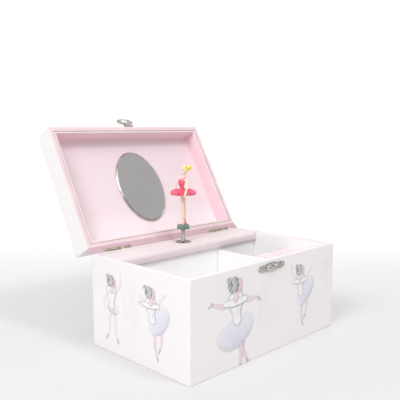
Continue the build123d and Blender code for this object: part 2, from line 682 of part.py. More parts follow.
FRAME_FRONT = 38.0
FRAME_SHEET = 1.2
frame_y = (FRAME_FRONT, bedplate_front)
frame_z = (MOVEMENT_Z - 7.5, fly_z + 3.5)
pivots = ((train_centre, CYLINDER_ARBOR), (governor_centre, PIVOT_RADIUS), (fly_centre, PIVOT_RADIUS))
with BuildPart() as governor_frame:
    for plate_x in (FRAME_A, FRAME_B):
        block(CASE, plate_x, frame_y, frame_z)
        for centre, radius in pivots:
            rod(Plane.YZ, centre, radius + RUNNING_GAP, plate_x, mode=Mode.SUBTRACT)
    block(CASE, frame_x, frame_y, (frame_z[0] - FRAME_SHEET, frame_z[0]))
finish(governor_frame, "governor_frame")

with BuildPart() as cylinder_bracket:
    bracket_x = (16.6, 16.6 + FRAME_SHEET)
    block(CASE, bracket_x, (FRAME_FRONT + 2, bedplate_front), (MOVEMENT_Z - 4, MOVEMENT_Z + 4))
    rod(Plane.YZ, train_centre, CYLINDER_ARBOR + RUNNING_GAP, bracket_x, mode=Mode.SUBTRACT)
finish(cylinder_bracket, "cylinder_bracket")

# ---------------------------------------------------------------- tone comb
COMB_THICKNESS = 0.8
COMB_CLEARANCE = 0.12
COMB_HEEL = (9.0, 16.5)
COMB_SCREW = 1.1
comb_tip_z = MOVEMENT_Z - CYLINDER_RADIUS - PIN_HEIGHT - COMB_CLEARANCE
comb_y = (FIGURE_Y - COMB_THICKNESS / 2, FIGURE_Y + COMB_THICKNESS / 2)
comb_screw_places = [(cylinder_x[0] + 4.0, 12.5), (cylinder_x[1] - 4.0, 12.5)]
comb_screw_end = -bedplate_front + 1.5
tooth_half = track_pitch * 0.38
with BuildPart() as tone_comb:
    block(CASE, cylinder_x, comb_y, COMB_HEEL)
    for tooth in range(COMB_TEETH):
        tooth_x = cylinder_x[0] + (tooth + 1) * track_pitch
        block(CASE, (tooth_x - tooth_half, tooth_x + tooth_half), comb_y, (COMB_HEEL[1] - 0.1, comb_tip_z))
    for place in comb_screw_places:
        rod(along_y(), place, COMB_SCREW, (-comb_y[1] - 1, -comb_y[0] + 1), mode=Mode.SUBTRACT)
finish(tone_comb, "tone_comb")

with BuildPart() as comb_base:
    block(CASE, cylinder_x, (comb_y[1], bedplate_front), (COMB_HEEL[0], COMB_HEEL[1] - 0.5))
    for place in comb_screw_places:
        rod(along_y(), place, COMB_SCREW, (comb_screw_end, -comb_y[1] + 1), mode=Mode.SUBTRACT)
finish(comb_base, "comb_base")

with BuildPart() as comb_screws:
    for place in comb_screw_places:
        rod(along_y(), place, COMB_SCREW, (comb_screw_end, -comb_y[0]))
        rod(along_y(), place, 2 * COMB_SCREW, (-comb_y[0], -comb_y[0] + 1.2))
finish(comb_screws, "comb_screws")

# ---------------------------------------------------------------- dancer drive shaft
BEARINGS = ((53.2, 54.7), (62.0, 63.5))
BRACKET_X = (-5.0, 5.0)
figure_centre = (0, FIGURE_Y)
crown_top = MOVEMENT_Z + crown_radius
with BuildPart() as dancer_shaft:
    rod(CASE, figure_centre, SHAFT_RADIUS, (crown_top - 1.2, SPRING_BOTTOM + 3.0))
    rod(CASE, figure_centre, SPRING_RADIUS, (SPRING_BOTTOM - 1.6, SPRING_BOTTOM - 0.1))
    toothed_wheel(CASE, figure_centre, CROWN_MODULE, PINION_TEETH, 0, (crown_top - 1.2, crown_top + 1.2))
finish(dancer_shaft, "dancer_shaft")

with BuildPart() as shaft_bracket:
    block(CASE, BRACKET_X, (bedplate_front - 1.5, bedplate_front), (BEARINGS[0][0], BEARINGS[1][1]))
    for low, high in BEARINGS:
        block(CASE, BRACKET_X, (FIGURE_Y - 4, bedplate_front), (low, high))
        rod(CASE, figure_centre, SHAFT_RADIUS + RUNNING_GAP, (low, high), mode=Mode.SUBTRACT)
finish(shaft_bracket, "shaft_bracket")

# ---------------------------------------------------------------- stop wire
STOP_FOOT = 0.35
stop_foot_z = fly_z + BRAKE_RADIUS + STOP_TRAVEL + 0.1
stop_head_z = CASE_HEIGHT + LID_GAP - 0.1 + STOP_TRAVEL
stop_arm_z = (deck_bottom - 3.1, deck_bottom - 2.4)
with BuildPart() as stop_wire:
    rod(CASE, (STOP_X, stop_top_y), STOP_WIRE, (stop_arm_z[0], stop_head_z))
    rod(CASE, (STOP_X, FIGURE_Y), STOP_FOOT, (stop_foot_z, stop_arm_z[0]))
    block(CASE, (STOP_X - STOP_FOOT, STOP_X + STOP_FOOT), (FIGURE_Y - STOP_FOOT, stop_top_y), stop_arm_z)
finish(stop_wire, "stop_wire")

# ---------------------------------------------------------------- dancer
with BuildPart() as dancer_spring:
    rod(CASE, figure_centre, SPRING_RADIUS, (SPRING_BOTTOM, DISC_BOTTOM - 0.1))
    rod(CASE, figure_centre, SHAFT_RADIUS + 0.1, (SPRING_BOTTOM, DISC_BOTTOM - 0.1), mode=Mode.SUBTRACT)
finish(dancer_spring, "dancer_spring")

DISC_RADIUS = 5.6
DISC_PEG = 3.2
with BuildPart() as dancer_disc:
    rod(CASE, figure_centre, DISC_RADIUS, (DISC_BOTTOM, DISC_TOP))
    rod(CASE, figure_centre, SHAFT_RADIUS, (DISC_BOTTOM - DISC_PEG, DISC_BOTTOM))
finish(dancer_disc, "dancer_disc")

HIP_Z = 118.0
WAIST_Z = 125.0
CHEST_Z = 129.0
SHOULDER_Z = 132.5
NECK_Z = 135.0
HEAD_Z = 140.0
HEAD_RADIUS = 3.7
HAIR_RADIUS = 4.1
BUN_RADIUS = 2.3
BUN_REACH = 4.4
BUN_TURN = radians(-20.0)
body_outline = [
    (1.9, DISC_TOP), (2.2, 104.0), (2.9, HIP_Z), (1.9, WAIST_Z),
    (2.8, CHEST_Z), (2.5, SHOULDER_Z), (1.1, NECK_Z), (1.1, HEAD_Z),
]
with BuildPart() as dancer_body:
    with BuildSketch(Plane.XZ.offset(-FIGURE_Y)) as body_profile:
        with BuildLine():
            Polyline((0, DISC_TOP), *body_outline, (0, HEAD_Z), close=True)
        make_face()
    revolve(axis=Axis((0, FIGURE_Y, 0), (0, 0, 1)))
    with Locations((0, FIGURE_Y, HEAD_Z)):
        Sphere(HEAD_RADIUS)
finish(dancer_body, "dancer_body")

with BuildPart() as dancer_hair:
    with Locations((0, FIGURE_Y, HEAD_Z)):
        Sphere(HAIR_RADIUS)
    split(bisect_by=Plane(origin=(0, FIGURE_Y, HEAD_Z), z_dir=(cos(BUN_TURN), sin(BUN_TURN), 0.8)))
    with Locations((BUN_REACH * cos(BUN_TURN), FIGURE_Y + BUN_REACH * sin(BUN_TURN), HEAD_Z + 2.0)):
        Sphere(BUN_RADIUS)
    with Locations((0, FIGURE_Y, HEAD_Z)):
        Sphere(HEAD_RADIUS, mode=Mode.SUBTRACT)
finish(dancer_hair, "dancer_hair")

TUTU_RADIUS = 11.7
TUTU_Z = 120.2
with BuildPart() as dancer_tutu:
    with BuildSketch(Plane.XZ.offset(-FIGURE_Y)) as tutu_profile:
        with BuildLine():
            Polyline(
                (3.1, TUTU_Z - 3.2),
                (TUTU_RADIUS - 1.2, TUTU_Z - 1.8),
                (TUTU_RADIUS, TUTU_Z - 0.2),
                (TUTU_RADIUS - 1.2, TUTU_Z + 1.4),
                (3.1, TUTU_Z + 3.6),
                close=True,
            )
        make_face()
    revolve(axis=Axis((0, FIGURE_Y, 0), (0, 0, 1)))
finish(dancer_tutu, "dancer_tutu")
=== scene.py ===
import json
from contextlib import contextmanager
from math import cos, pi, radians, sin

import bmesh
import bpy
import numpy as np
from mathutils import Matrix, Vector


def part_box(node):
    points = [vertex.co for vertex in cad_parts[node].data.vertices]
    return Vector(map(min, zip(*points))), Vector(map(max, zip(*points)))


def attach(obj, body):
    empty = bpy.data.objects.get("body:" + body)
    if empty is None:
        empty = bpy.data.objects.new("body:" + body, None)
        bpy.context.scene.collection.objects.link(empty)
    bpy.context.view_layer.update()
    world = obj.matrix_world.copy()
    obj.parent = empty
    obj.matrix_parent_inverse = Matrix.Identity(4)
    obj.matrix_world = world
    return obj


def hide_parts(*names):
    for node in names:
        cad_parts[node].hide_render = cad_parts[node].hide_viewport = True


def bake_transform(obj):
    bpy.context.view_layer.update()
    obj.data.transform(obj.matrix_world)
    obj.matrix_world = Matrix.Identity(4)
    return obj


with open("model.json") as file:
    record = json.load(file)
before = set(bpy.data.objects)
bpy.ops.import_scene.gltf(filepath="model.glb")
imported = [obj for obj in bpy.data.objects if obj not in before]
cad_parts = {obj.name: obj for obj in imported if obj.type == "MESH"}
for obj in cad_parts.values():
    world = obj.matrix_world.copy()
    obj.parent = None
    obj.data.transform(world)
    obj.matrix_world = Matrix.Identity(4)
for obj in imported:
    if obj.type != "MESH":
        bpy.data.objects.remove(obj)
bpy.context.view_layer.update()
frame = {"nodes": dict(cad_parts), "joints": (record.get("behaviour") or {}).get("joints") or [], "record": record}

MM = 0.001
scene = bpy.context.scene

# ------------------------------------------------------------------ camera
CAMERA_AZIMUTH = radians(-45.14)
CAMERA_ELEVATION = radians(7.23)
CAMERA_PLACE = Vector((-0.3533, -0.3295, 0.1787))
CAMERA_LENS = 51.8
SENSOR = 36.0

view_back = Vector((
    sin(CAMERA_AZIMUTH) * cos(CAMERA_ELEVATION),
    -cos(CAMERA_AZIMUTH) * cos(CAMERA_ELEVATION),
    sin(CAMERA_ELEVATION),
))
camera = bpy.data.objects.new("camera", bpy.data.cameras.new("camera"))
scene.collection.objects.link(camera)
camera.data.lens = CAMERA_LENS
camera.data.sensor_width = SENSOR
camera.location = CAMERA_PLACE
camera.rotation_mode = "QUATERNION"
camera.rotation_quaternion = (-view_back).to_track_quat("-Z", "Y")
scene.camera = camera

# ------------------------------------------------------------------ places, from the frame, in millimetres
joints = {joint["name"]: joint for joint in frame["joints"]}
hinge_y = joints["lid_hinge"]["pos_m"][1] / MM
hinge_z = joints["lid_hinge"]["pos_m"][2] / MM
lid_turn = radians(joints["lid_hinge"]["range_deg"][1])
LID_UP = np.array([0.0, sin(lid_turn), cos(lid_turn)])
LID_BACK = np.array([0.0, cos(lid_turn), -sin(lid_turn)])
HINGE_RISE = 0.2
lid_origin = np.array([0.0, hinge_y, hinge_z]) - LID_BACK * hinge_y - LID_UP * HINGE_RISE


def box_mm(node):
    """A CAD node's lowest and highest corners in millimetres."""
    low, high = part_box(node)
    return np.array(low) / MM, np.array(high) / MM


def lid_extent(node):
    """A lid node's lowest and highest corners in the lid's own axes, in millimetres."""
    points = np.array([v.co for v in frame["nodes"][node].data.vertices]) / MM - lid_origin
    local = np.stack([points[:, 0], points @ LID_BACK, points @ LID_UP], axis=1)
    return local.min(0), local.max(0)


def to_lid(points):
    """Lid coordinates (across, toward the hinge, toward the top panel) to the row frame."""
    across, back, up = np.asarray(points, float).T[:, :, None]
    return lid_origin + across * np.array([1.0, 0, 0]) + back * LID_BACK + up * LID_UP


def to_case(points):
    """Case coordinates are the row frame's."""
    return np.asarray(points, float)


CASE_HALF_X, CASE_HALF_Y, CASE_TOP = box_mm("case_wrap")[1]
INNER_X = box_mm("base_board")[1][0]
LID_TOP = lid_extent("lid_wrap")[1][2]
PANEL_FACE = lid_extent("lid_panel_lining")[0][2]
DISC_TOP = box_mm("dancer_disc")[1][2]
figure_y = joints["figure_fold"]["pos_m"][1] / MM
CORNER = 1.2


# ------------------------------------------------------------------ materials
class Finish:
    """A Principled material and the nodes that drive it."""

    def __init__(self, name, roughness=0.5, metallic=0.0, **sockets):
        self.material = bpy.data.materials.new(name)
        self.material.use_nodes = True
        self.nodes = self.material.node_tree.nodes
        self.links = self.material.node_tree.links
        self.shader = self.nodes["Principled BSDF"]
        self.shader.inputs["Roughness"].default_value = roughness
        self.shader.inputs["Metallic"].default_value = metallic
        for socket, value in sockets.items():
            self.shader.inputs[socket.replace("_", " ")].default_value = value

    def drive(self, socket, source):
        """Drive one of the shader's sockets."""
        self.links.new(source, self.shader.inputs[socket])

    def attribute(self, name, output):
        """A value stored on the mesh."""
        made = self.nodes.new("ShaderNodeAttribute")
        made.attribute_name = name
        return made.outputs[output]

    def noise(self, scale, detail=4.0, stretch=None):
        """Noise over the object's own coordinates."""
        source = self.nodes.new("ShaderNodeTexCoord").outputs["Object"]
        if stretch:
            mapping = self.nodes.new("ShaderNodeMapping")
            mapping.inputs["Scale"].default_value = stretch
            self.links.new(source, mapping.inputs["Vector"])
            source = mapping.outputs["Vector"]
        texture = self.nodes.new("ShaderNodeTexNoise")
        texture.inputs["Scale"].default_value = scale
        texture.inputs["Detail"].default_value = detail
        self.links.new(source, texture.inputs["Vector"])
        return texture.outputs["Fac"]

    def height(self):
        """The height of a point in the object's own coordinates, in metres."""
        parts = self.nodes.new("ShaderNodeSeparateXYZ")
        self.links.new(self.nodes.new("ShaderNodeTexCoord").outputs["Object"], parts.inputs["Vector"])
        return parts.outputs["Z"]

    def ramp(self, factor, *stops):
        """A colour ramp over a factor; stops are (position, (r, g, b))."""
        made = self.nodes.new("ShaderNodeValToRGB")
        while len(made.color_ramp.elements) < len(stops):
            made.color_ramp.elements.new(0.5)
        for element, (position, colour) in zip(made.color_ramp.elements, stops):
            element.position = position
            element.color = (*colour, 1.0)
        self.links.new(factor, made.inputs["Fac"])
        return made.outputs["Color"]

    def spread(self, factor, low, high, start=0.3, stop=0.7):
        """A factor mapped to a range of plain values."""
        made = self.nodes.new("ShaderNodeMapRange")
        for socket, value in (("From Min", start), ("From Max", stop), ("To Min", low), ("To Max", high)):
            made.inputs[socket].default_value = value
        self.links.new(factor, made.inputs["Value"])
        return made.outputs["Result"]

    def bump(self, height, strength, distance, under=None):
        """Bump from a height, on top of another bump if one is given."""
        made = self.nodes.new("ShaderNodeBump")
        made.inputs["Strength"].default_value = strength
        made.inputs["Distance"].default_value = distance
        self.links.new(height, made.inputs["Height"])
        if under is not None:
            self.links.new(under, made.inputs["Normal"])
        self.drive("Normal", made.outputs["Normal"])
        return made.outputs["Normal"]

    def multiply(self, first, second):
        """Two colours multiplied."""
        made = self.nodes.new("ShaderNodeMix")
        made.data_type = "RGBA"
        made.blend_type = "MULTIPLY"
        made.inputs["Factor"].default_value = 1.0
        self.links.new(first, made.inputs["A"])
        self.links.new(second, made.inputs["B"])
        return made.outputs["Result"]


def paper_material(name, dark, light, grain=1400.0, roughness=(0.5, 0.62), relief=0.12):
    """Matt paper: soft mottling, fibres and a fine tooth."""
    made = Finish(name)
    mottle = made.noise(45.0, 5.0)
    fibre = made.noise(grain, 3.0, (1.0, 0.45, 0.7))
    base = made.ramp(mottle, (0.3, dark), (0.7, light))
    fine = made.ramp(fibre, (0.25, (0.965,) * 3), (0.6, (1.0,) * 3))
    made.drive("Base Color", made.multiply(base, fine))
    made.drive("Roughness", made.spread(fibre, *roughness))
    low = made.bump(mottle, 0.1, 0.0006)
    made.bump(fibre, relief, 0.0001, low)
    return made.material


def panel_material(name):
    """Pink lining paper with painted light and shade: lighter and whiter toward its lower edge, darker toward its
    top.
    """
    made = Finish(name, roughness=0.68)
    # Painted light and shade: by height, the colour lightens toward the panel's lower edge and darkens toward its
    # top.
    height = made.spread(made.height(), 0.0, 1.0, 0.084, 0.150)
    stops = (0.05, (0.97, 0.93, 0.94)), (0.28, (0.91, 0.81, 0.83)), (1.0, (0.88, 0.77, 0.80))
    painted_light_and_shade = made.ramp(height, *stops)
    grain = made.noise(1800.0, 5.0)
    paper = made.ramp(grain, (0.3, (0.90, 0.85, 0.865)), (0.7, (0.93, 0.88, 0.895)))
    made.drive("Base Color", made.multiply(paper, painted_light_and_shade))
    made.drive("Roughness", made.spread(grain, 0.6, 0.75))
    made.bump(grain, 0.12, 0.0001)
    return made.material


def printed_material(name):
    """Satin printed paper: its picture is a colour attribute made by the print functions."""
    made = Finish(name, Coat_Weight=0.12, Coat_Roughness=0.35)
    tooth = made.noise(900.0, 4.0)
    fibre = made.ramp(tooth, (0.2, (0.97, 0.968, 0.968)), (0.65, (1.0, 1.0, 1.0)))
    made.drive("Base Color", made.multiply(made.attribute("print", "Color"), fibre))
    made.drive("Roughness", made.spread(tooth, 0.42, 0.56))
    wave = made.bump(made.noise(30.0, 2.0), 0.08, 0.0015)
    made.bump(tooth, 0.1, 0.00012, wave)
    return made.material


def cloth_material(name, dark, light):
    """Brushed cloth: short pile, soft sheen and gentle shade variation."""
    made = Finish(name, 0.9, Sheen_Weight=0.35, Sheen_Roughness=0.5)
    broad = made.noise(70.0, 4.0)
    threads = made.noise(2600.0, 2.0)
    base = made.ramp(broad, (0.3, dark), (0.7, light))
    flecks = made.ramp(threads, (0.3, (0.93,) * 3), (0.62, (1.0,) * 3))
    made.drive("Base Color", made.multiply(base, flecks))
    made.drive("Roughness", made.spread(threads, 0.82, 0.97))
    low = made.bump(broad, 0.15, 0.001)
    made.bump(threads, 0.3, 0.00018, low)
    return made.material


def metal_material(name, dark, light, roughness, wear_scale=160.0, relief=0.15, stretch=None):
    """Metal with tarnish patches and fine tooling marks."""
    made = Finish(name, metallic=1.0)
    marks = made.noise(2600.0, 3.0, stretch)
    made.drive("Base Color", made.ramp(made.noise(wear_scale, 5.0), (0.32, dark), (0.68, light)))
    made.drive("Roughness", made.spread(marks, *roughness))
    made.bump(marks, relief, 0.00006)
    return made.material


def plastic_material(name, dark, light, roughness=(0.3, 0.45), scale=220.0):
    """Moulded and painted plastic with slight paint build-up."""
    made = Finish(name)
    coat = made.noise(scale, 4.0)
    made.drive("Base Color", made.ramp(coat, (0.3, dark), (0.68, light)))
    made.drive("Roughness", made.spread(coat, *roughness))
    made.bump(coat, 0.2, 0.00012)
    return made.material


def mirror_material(name):
    """Silvered glass, lightly hazed."""
    made = Finish(name, metallic=1.0)
    haze = made.noise(38.0, 3.0)
    made.drive("Base Color", made.ramp(haze, (0.25, (0.80, 0.775, 0.75)), (0.75, (0.84, 0.815, 0.79))))
    made.drive("Roughness", made.spread(haze, 0.05, 0.11))
    made.bump(haze, 0.02, 0.0004)
    return made.material


MATERIALS = {
    "print": printed_material("printed_paper"),
    # The panel paper carries painted light and shade, graded by height.
    "panel_paper_painted_light": panel_material("panel_paper_painted_light"),
    "mirror": mirror_material("mirror_glass"),
}
# Papers: name, dark, light, and where they differ the grain's scale, roughness and relief.
for paper, *details in (
    ("board", (0.42, 0.31, 0.20), (0.55, 0.42, 0.29), 800.0, (0.7, 0.85), 0.3),
    ("rim_paper", (0.79, 0.61, 0.64), (0.84, 0.67, 0.70)),
    ("case_rim_paper", (0.83, 0.775, 0.785), (0.86, 0.81, 0.82)),
    ("pink_paper", (0.84, 0.59, 0.65), (0.875, 0.63, 0.685), 1800.0, (0.6, 0.75)),
    ("lip_paper", (0.86, 0.735, 0.765), (0.89, 0.775, 0.80)),
    # pink paper darkened with painted shade, for the strip in the recess behind the lid
    ("hinge_paper_painted_shade", (0.55, 0.37, 0.42), (0.61, 0.42, 0.47)),
    ("white_paper", (0.955, 0.945, 0.95), (0.98, 0.972, 0.976)),
):
    MATERIALS[paper] = paper_material(paper, *details)
# Cloths: name, dark, light.
for cloth, *details in (
    ("pink_cloth", (0.79, 0.68, 0.70), (0.845, 0.74, 0.755)),
    ("ring_cloth", (0.82, 0.68, 0.72), (0.88, 0.75, 0.785)),
):
    MATERIALS[cloth] = cloth_material(cloth, *details)
# Metals: name, dark, light, roughness, and where they differ the scale of the wear, relief and stretch.
for metal, *details in (
    ("mirror_bevel", (0.46, 0.445, 0.435), (0.62, 0.60, 0.59), (0.08, 0.2)),
    ("nickel", (0.44, 0.40, 0.38), (0.64, 0.595, 0.57), (0.26, 0.42), 420.0, 0.2),
    # a much lighter copy of nickel for the catch's eye ridge: a painted highlight
    ("nickel_painted_highlight", (0.90, 0.875, 0.86), (0.97, 0.955, 0.945), (0.3, 0.45), 300.0, 0.1),
    ("aged_nickel", (0.20, 0.165, 0.155), (0.36, 0.31, 0.30), (0.34, 0.5), 300.0, 0.3),
    ("hinge_brass", (0.56, 0.48, 0.36), (0.80, 0.73, 0.60), (0.3, 0.5), 300.0, 0.25),
    ("steel", (0.46, 0.45, 0.44), (0.62, 0.61, 0.60), (0.2, 0.36), 200.0, 0.12, (1, 6, 1)),
    ("brass", (0.62, 0.43, 0.16), (0.80, 0.60, 0.27), (0.2, 0.34), 140.0, 0.12),
    ("cast_zinc", (0.30, 0.30, 0.31), (0.44, 0.44, 0.45), (0.42, 0.6), 500.0, 0.5),
    ("spring_chrome", (0.60, 0.55, 0.54), (0.84, 0.80, 0.79), (0.12, 0.24), 300.0, 0.1),
):
    MATERIALS[metal] = metal_material(metal, *details)
# Plastics: name, dark, light, and where they differ roughness and the scale of the coat.
for plastic, *details in (
    ("green_plastic", (0.115, 0.205, 0.148), (0.175, 0.275, 0.205), (0.4, 0.6)),
    ("skin_plastic", (0.87, 0.66, 0.47), (0.93, 0.76, 0.58)),
    ("tutu_plastic", (0.78, 0.07, 0.14), (0.93, 0.19, 0.29), (0.3, 0.5), 420.0),
    ("brown_paint", (0.10, 0.06, 0.045), (0.16, 0.10, 0.08)),
    ("hair_plastic", (0.86, 0.66, 0.10), (0.96, 0.88, 0.24), (0.35, 0.5), 600.0),
):
    MATERIALS[plastic] = plastic_material(plastic, *details)


def wear(piece, *materials):
    """Give a piece its materials, the first on every face."""
    piece.data.materials.clear()
    for material in materials:
        piece.data.materials.append(MATERIALS[material])
    return piece


# ------------------------------------------------------------------ mesh helpers
@contextmanager
def editing(mesh):
    """A mesh opened for editing and written back afterwards."""
    work = bmesh.new()
    work.from_mesh(mesh)
    yield work
    work.to_mesh(mesh)
    work.free()


def shade_smooth(mesh):
    """Smooth shading over the whole mesh."""
    mesh.polygons.foreach_set("use_smooth", [True] * len(mesh.polygons))


def show(name, mesh):
    """A new object for a mesh."""
    piece = bpy.data.objects.new(name, mesh)
    scene.collection.objects.link(piece)
    return piece


def mesh_piece(name, points_mm, faces):
    """A mesh object from points in millimetres, with every face pointing outward."""
    mesh = bpy.data.meshes.new(name)
    mesh.from_pydata((np.asarray(points_mm, float) * MM).tolist(), [], [list(map(int, f)) for f in faces])
    mesh.update()
    piece = show(name, mesh)
    with editing(mesh) as work:
        bmesh.ops.recalc_face_normals(work, faces=work.faces)
    shade_smooth(mesh)
    return piece


def points_of(piece):
    """A piece's points in metres."""
    return np.array([v.co for v in piece.data.vertices])


def move_points(piece, points):
    """Put a piece's points at new places, in metres."""
    piece.data.vertices.foreach_set("co", points.astype(np.float32).ravel())
    piece.data.update()


def apply_modifiers(piece):
    """Bake a piece's modifiers into its mesh."""
    graph = bpy.context.evaluated_depsgraph_get()
    made = bpy.data.meshes.new_from_object(piece.evaluated_get(graph))
    piece.modifiers.clear()
    piece.data = made
    return piece


def sharpen(piece, angle=35.0):
    """Smooth shading that breaks at sharp edges."""
    shade_smooth(piece.data)
    piece.data.set_sharp_from_angle(angle=radians(angle))
    return piece


def place(piece, body, slot, *replaced):
    """Ride on a body and stand for CAD nodes; the slot argument is not used."""
    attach(piece, body)
    if replaced:
        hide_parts(*replaced)
    return piece


def softened(node, width_mm, material):
    """A copy of a CAD node's shape with its edges rounded, standing for the node."""
    mesh = frame["nodes"][node].data.copy()
    piece = show(node + "_rounded", mesh)
    with editing(mesh) as work:
        bmesh.ops.remove_doubles(work, verts=work.verts, dist=1e-6)
        bmesh.ops.dissolve_limit(work, angle_limit=radians(1.0), verts=work.verts, edges=work.edges)
    modifier = piece.modifiers.new("bevel", "BEVEL")
    modifier.width = width_mm * MM
    modifier.segments = 2
    modifier.limit_method = "ANGLE"
    modifier.angle_limit = radians(40.0)
    modifier.use_clamp_overlap = True
    sharpen(apply_modifiers(piece))
    wear(piece, material)
    row = next(part for part in frame["record"]["subparts"] if part["node"] == node)
    body = next(name for name, nodes in frame["record"]["behaviour"]["bodies"].items() if node in nodes)
    return place(piece, body, row["material_slot"], node)


def quads(rows, columns, wrap):
    """Quads over a grid of rows and columns; wrap closes each row."""
    faces = []
    for row in range(rows - 1):
        for column in range(columns if wrap else columns - 1):
            after = (column + 1) % columns
            faces.append((row * columns + column, row * columns + after,
                          (row + 1) * columns + after, (row + 1) * columns + column))
    return faces


def closing_quads(rows, columns):
    """Quads that join the last row of a closed grid to its first."""
    last = (rows - 1) * columns
    return [(column, (column + 1) % columns, last + (column + 1) % columns, last + column)
            for column in range(columns)]


def caps(rows, columns):
    """The two faces that close the ends of a tube of rows."""
    return [tuple(range(columns)), tuple(range((rows - 1) * columns, rows * columns))]


def ring(count):
    """Angles once round a circle."""
    return [2 * pi * number / count for number in range(count)]


def rounded_loop(half_x, half_y, radius, x_lines=(), y_lines=(), steps=4):
    """Points round a rectangle with rounded corners, with extra points on the sides."""
    loop = []
    corners = [(1, -1, -pi / 2), (1, 1, 0.0), (-1, 1, pi / 2), (-1, -1, pi)]
    inner_x, inner_y = half_x - radius, half_y - radius
    sides = [
        [(half_x, y) for y in sorted(y_lines)],
        [(x, half_y) for x in sorted(x_lines, reverse=True)],
        [(-half_x, y) for y in sorted(y_lines, reverse=True)],
        [(x, -half_y) for x in sorted(x_lines)],
    ]
    for (side_x, side_y, begin), side in zip(corners, sides):
        for step in range(steps + 1):
            angle = begin + step / steps * pi / 2
            loop.append((side_x * inner_x + radius * cos(angle), side_y * inner_y + radius * sin(angle)))
        loop.extend(side)
    return loop


def turned(name, profile, centre, sides):
    """Turn a closed outline of (radius, height) about a vertical axis through centre."""
    points = [(centre[0] + radius * cos(angle), centre[1] + radius * sin(angle), height)
              for radius, height in profile for angle in ring(sides)]
    return mesh_piece(name, points, quads(len(profile), sides, True) + closing_quads(len(profile), sides))


def through(points, sizes, samples, thinnest):
    """A Catmull-Rom line through given points, with a size at each of its points."""
    values = np.column_stack([np.asarray(points, float), np.asarray(sizes, float)])
    padded = np.vstack([2 * values[0] - values[1], values, 2 * values[-1] - values[-2]])
    made = []
    for index in range(1, len(padded) - 2):
        before, here, there, after = padded[index - 1:index + 3]
        for step in range(samples):
            t = step / samples
            made.append(0.5 * (2 * here + (there - before) * t
                               + (2 * before - 5 * here + 4 * there - after) * t ** 2
                               + (3 * here - before - 3 * there + after) * t ** 3))
    made = np.array(made + [values[-1]])
    return made[:, :-1], np.maximum(made[:, -1], thinnest)


def tube(name, points, radii, sides=14, flatten=1.0):
    """A closed tube along points with a radius at each, optionally flattened one way."""
    points, radii = np.asarray(points, float), np.asarray(radii, float)
    tangents = np.gradient(points, axis=0)
    tangents /= np.linalg.norm(tangents, axis=1)[:, None]
    side = np.cross(tangents[0], (0.0, 0.0, 1.0))
    if np.linalg.norm(side) < 1e-3:
        side = np.array([1.0, 0.0, 0.0])
    rings = []
    for point, tangent, radius in zip(points, tangents, radii):
        side = side - tangent * (side @ tangent)
        side /= np.linalg.norm(side)
        other = np.cross(tangent, side)
        for angle in ring(sides):
            rings.append(point + radius * (cos(angle) * side + sin(angle) * other * flatten))
    return mesh_piece(name, rings, quads(len(points), sides, True) + caps(len(points), sides))


def join(name, pieces):
    """Join pieces into one object."""
    work = bmesh.new()
    for piece in pieces:
        work.from_mesh(piece.data)
        bpy.data.objects.remove(piece)
    mesh = bpy.data.meshes.new(name)
    work.to_mesh(mesh)
    work.free()
    shade_smooth(mesh)
    return show(name, mesh)


# ------------------------------------------------------------------ the printed dancers
PAPER_COLOUR = np.array([0.918, 0.878, 0.880])
LAVENDER = (0.56, 0.53, 0.72)
LILAC = (0.74, 0.72, 0.84)
GRAPHITE = (0.16, 0.155, 0.17)
ASH = (0.30, 0.295, 0.31)
SILVER = (0.66, 0.66, 0.68)
BLUSH = (0.83, 0.655, 0.665)
ROSE = (0.50, 0.29, 0.35)
MIST = (0.80, 0.80, 0.86)
CHALK = (0.93, 0.925, 0.94)
LATTICE = 64
lattice = np.random.RandomState(7).rand(LATTICE, LATTICE)


def wash_noise(u, v, cell):
    """Smooth noise from 0 to 1 over a face, one cell of paint per lattice square."""
    x, y = np.asarray(u) / cell + 1000.0, np.asarray(v) / cell + 1000.0
    column, row = np.floor(x).astype(int), np.floor(y).astype(int)
    across, up = x - column, y - row
    across, up = across * across * (3 - 2 * across), up * up * (3 - 2 * up)

    def along(line):
        """The paint along one line of the lattice."""
        line = line % LATTICE
        return lattice[line, column % LATTICE] * (1 - across) + lattice[line, (column + 1) % LATTICE] * across

    return along(row) * (1 - up) + along(row + 1) * up


def soft_step(distance, softness):
    """1 inside, 0 outside, with a soft edge."""
    t = np.clip(0.5 - distance / (2 * softness), 0, 1)
    return t * t * (3 - 2 * t)


def chain_distance(x, y, points, widths):
    """Distance to a chain of segments whose half width changes along it."""
    best = np.full(x.shape, 1e9)
    for (ax, ay), (bx, by), wide, narrow in zip(points, points[1:], widths, widths[1:]):
        dx, dy = bx - ax, by - ay
        along = np.clip(((x - ax) * dx + (y - ay) * dy) / (dx * dx + dy * dy + 1e-9), 0, 1)
        gap = np.hypot(x - ax - along * dx, y - ay - along * dy) - (wide + (narrow - wide) * along)
        best = np.minimum(best, gap)
    return best


def curve(points, widths):
    """Points and widths of a smooth chain through a few given ones."""
    return through(points, widths, 5, 0.001)


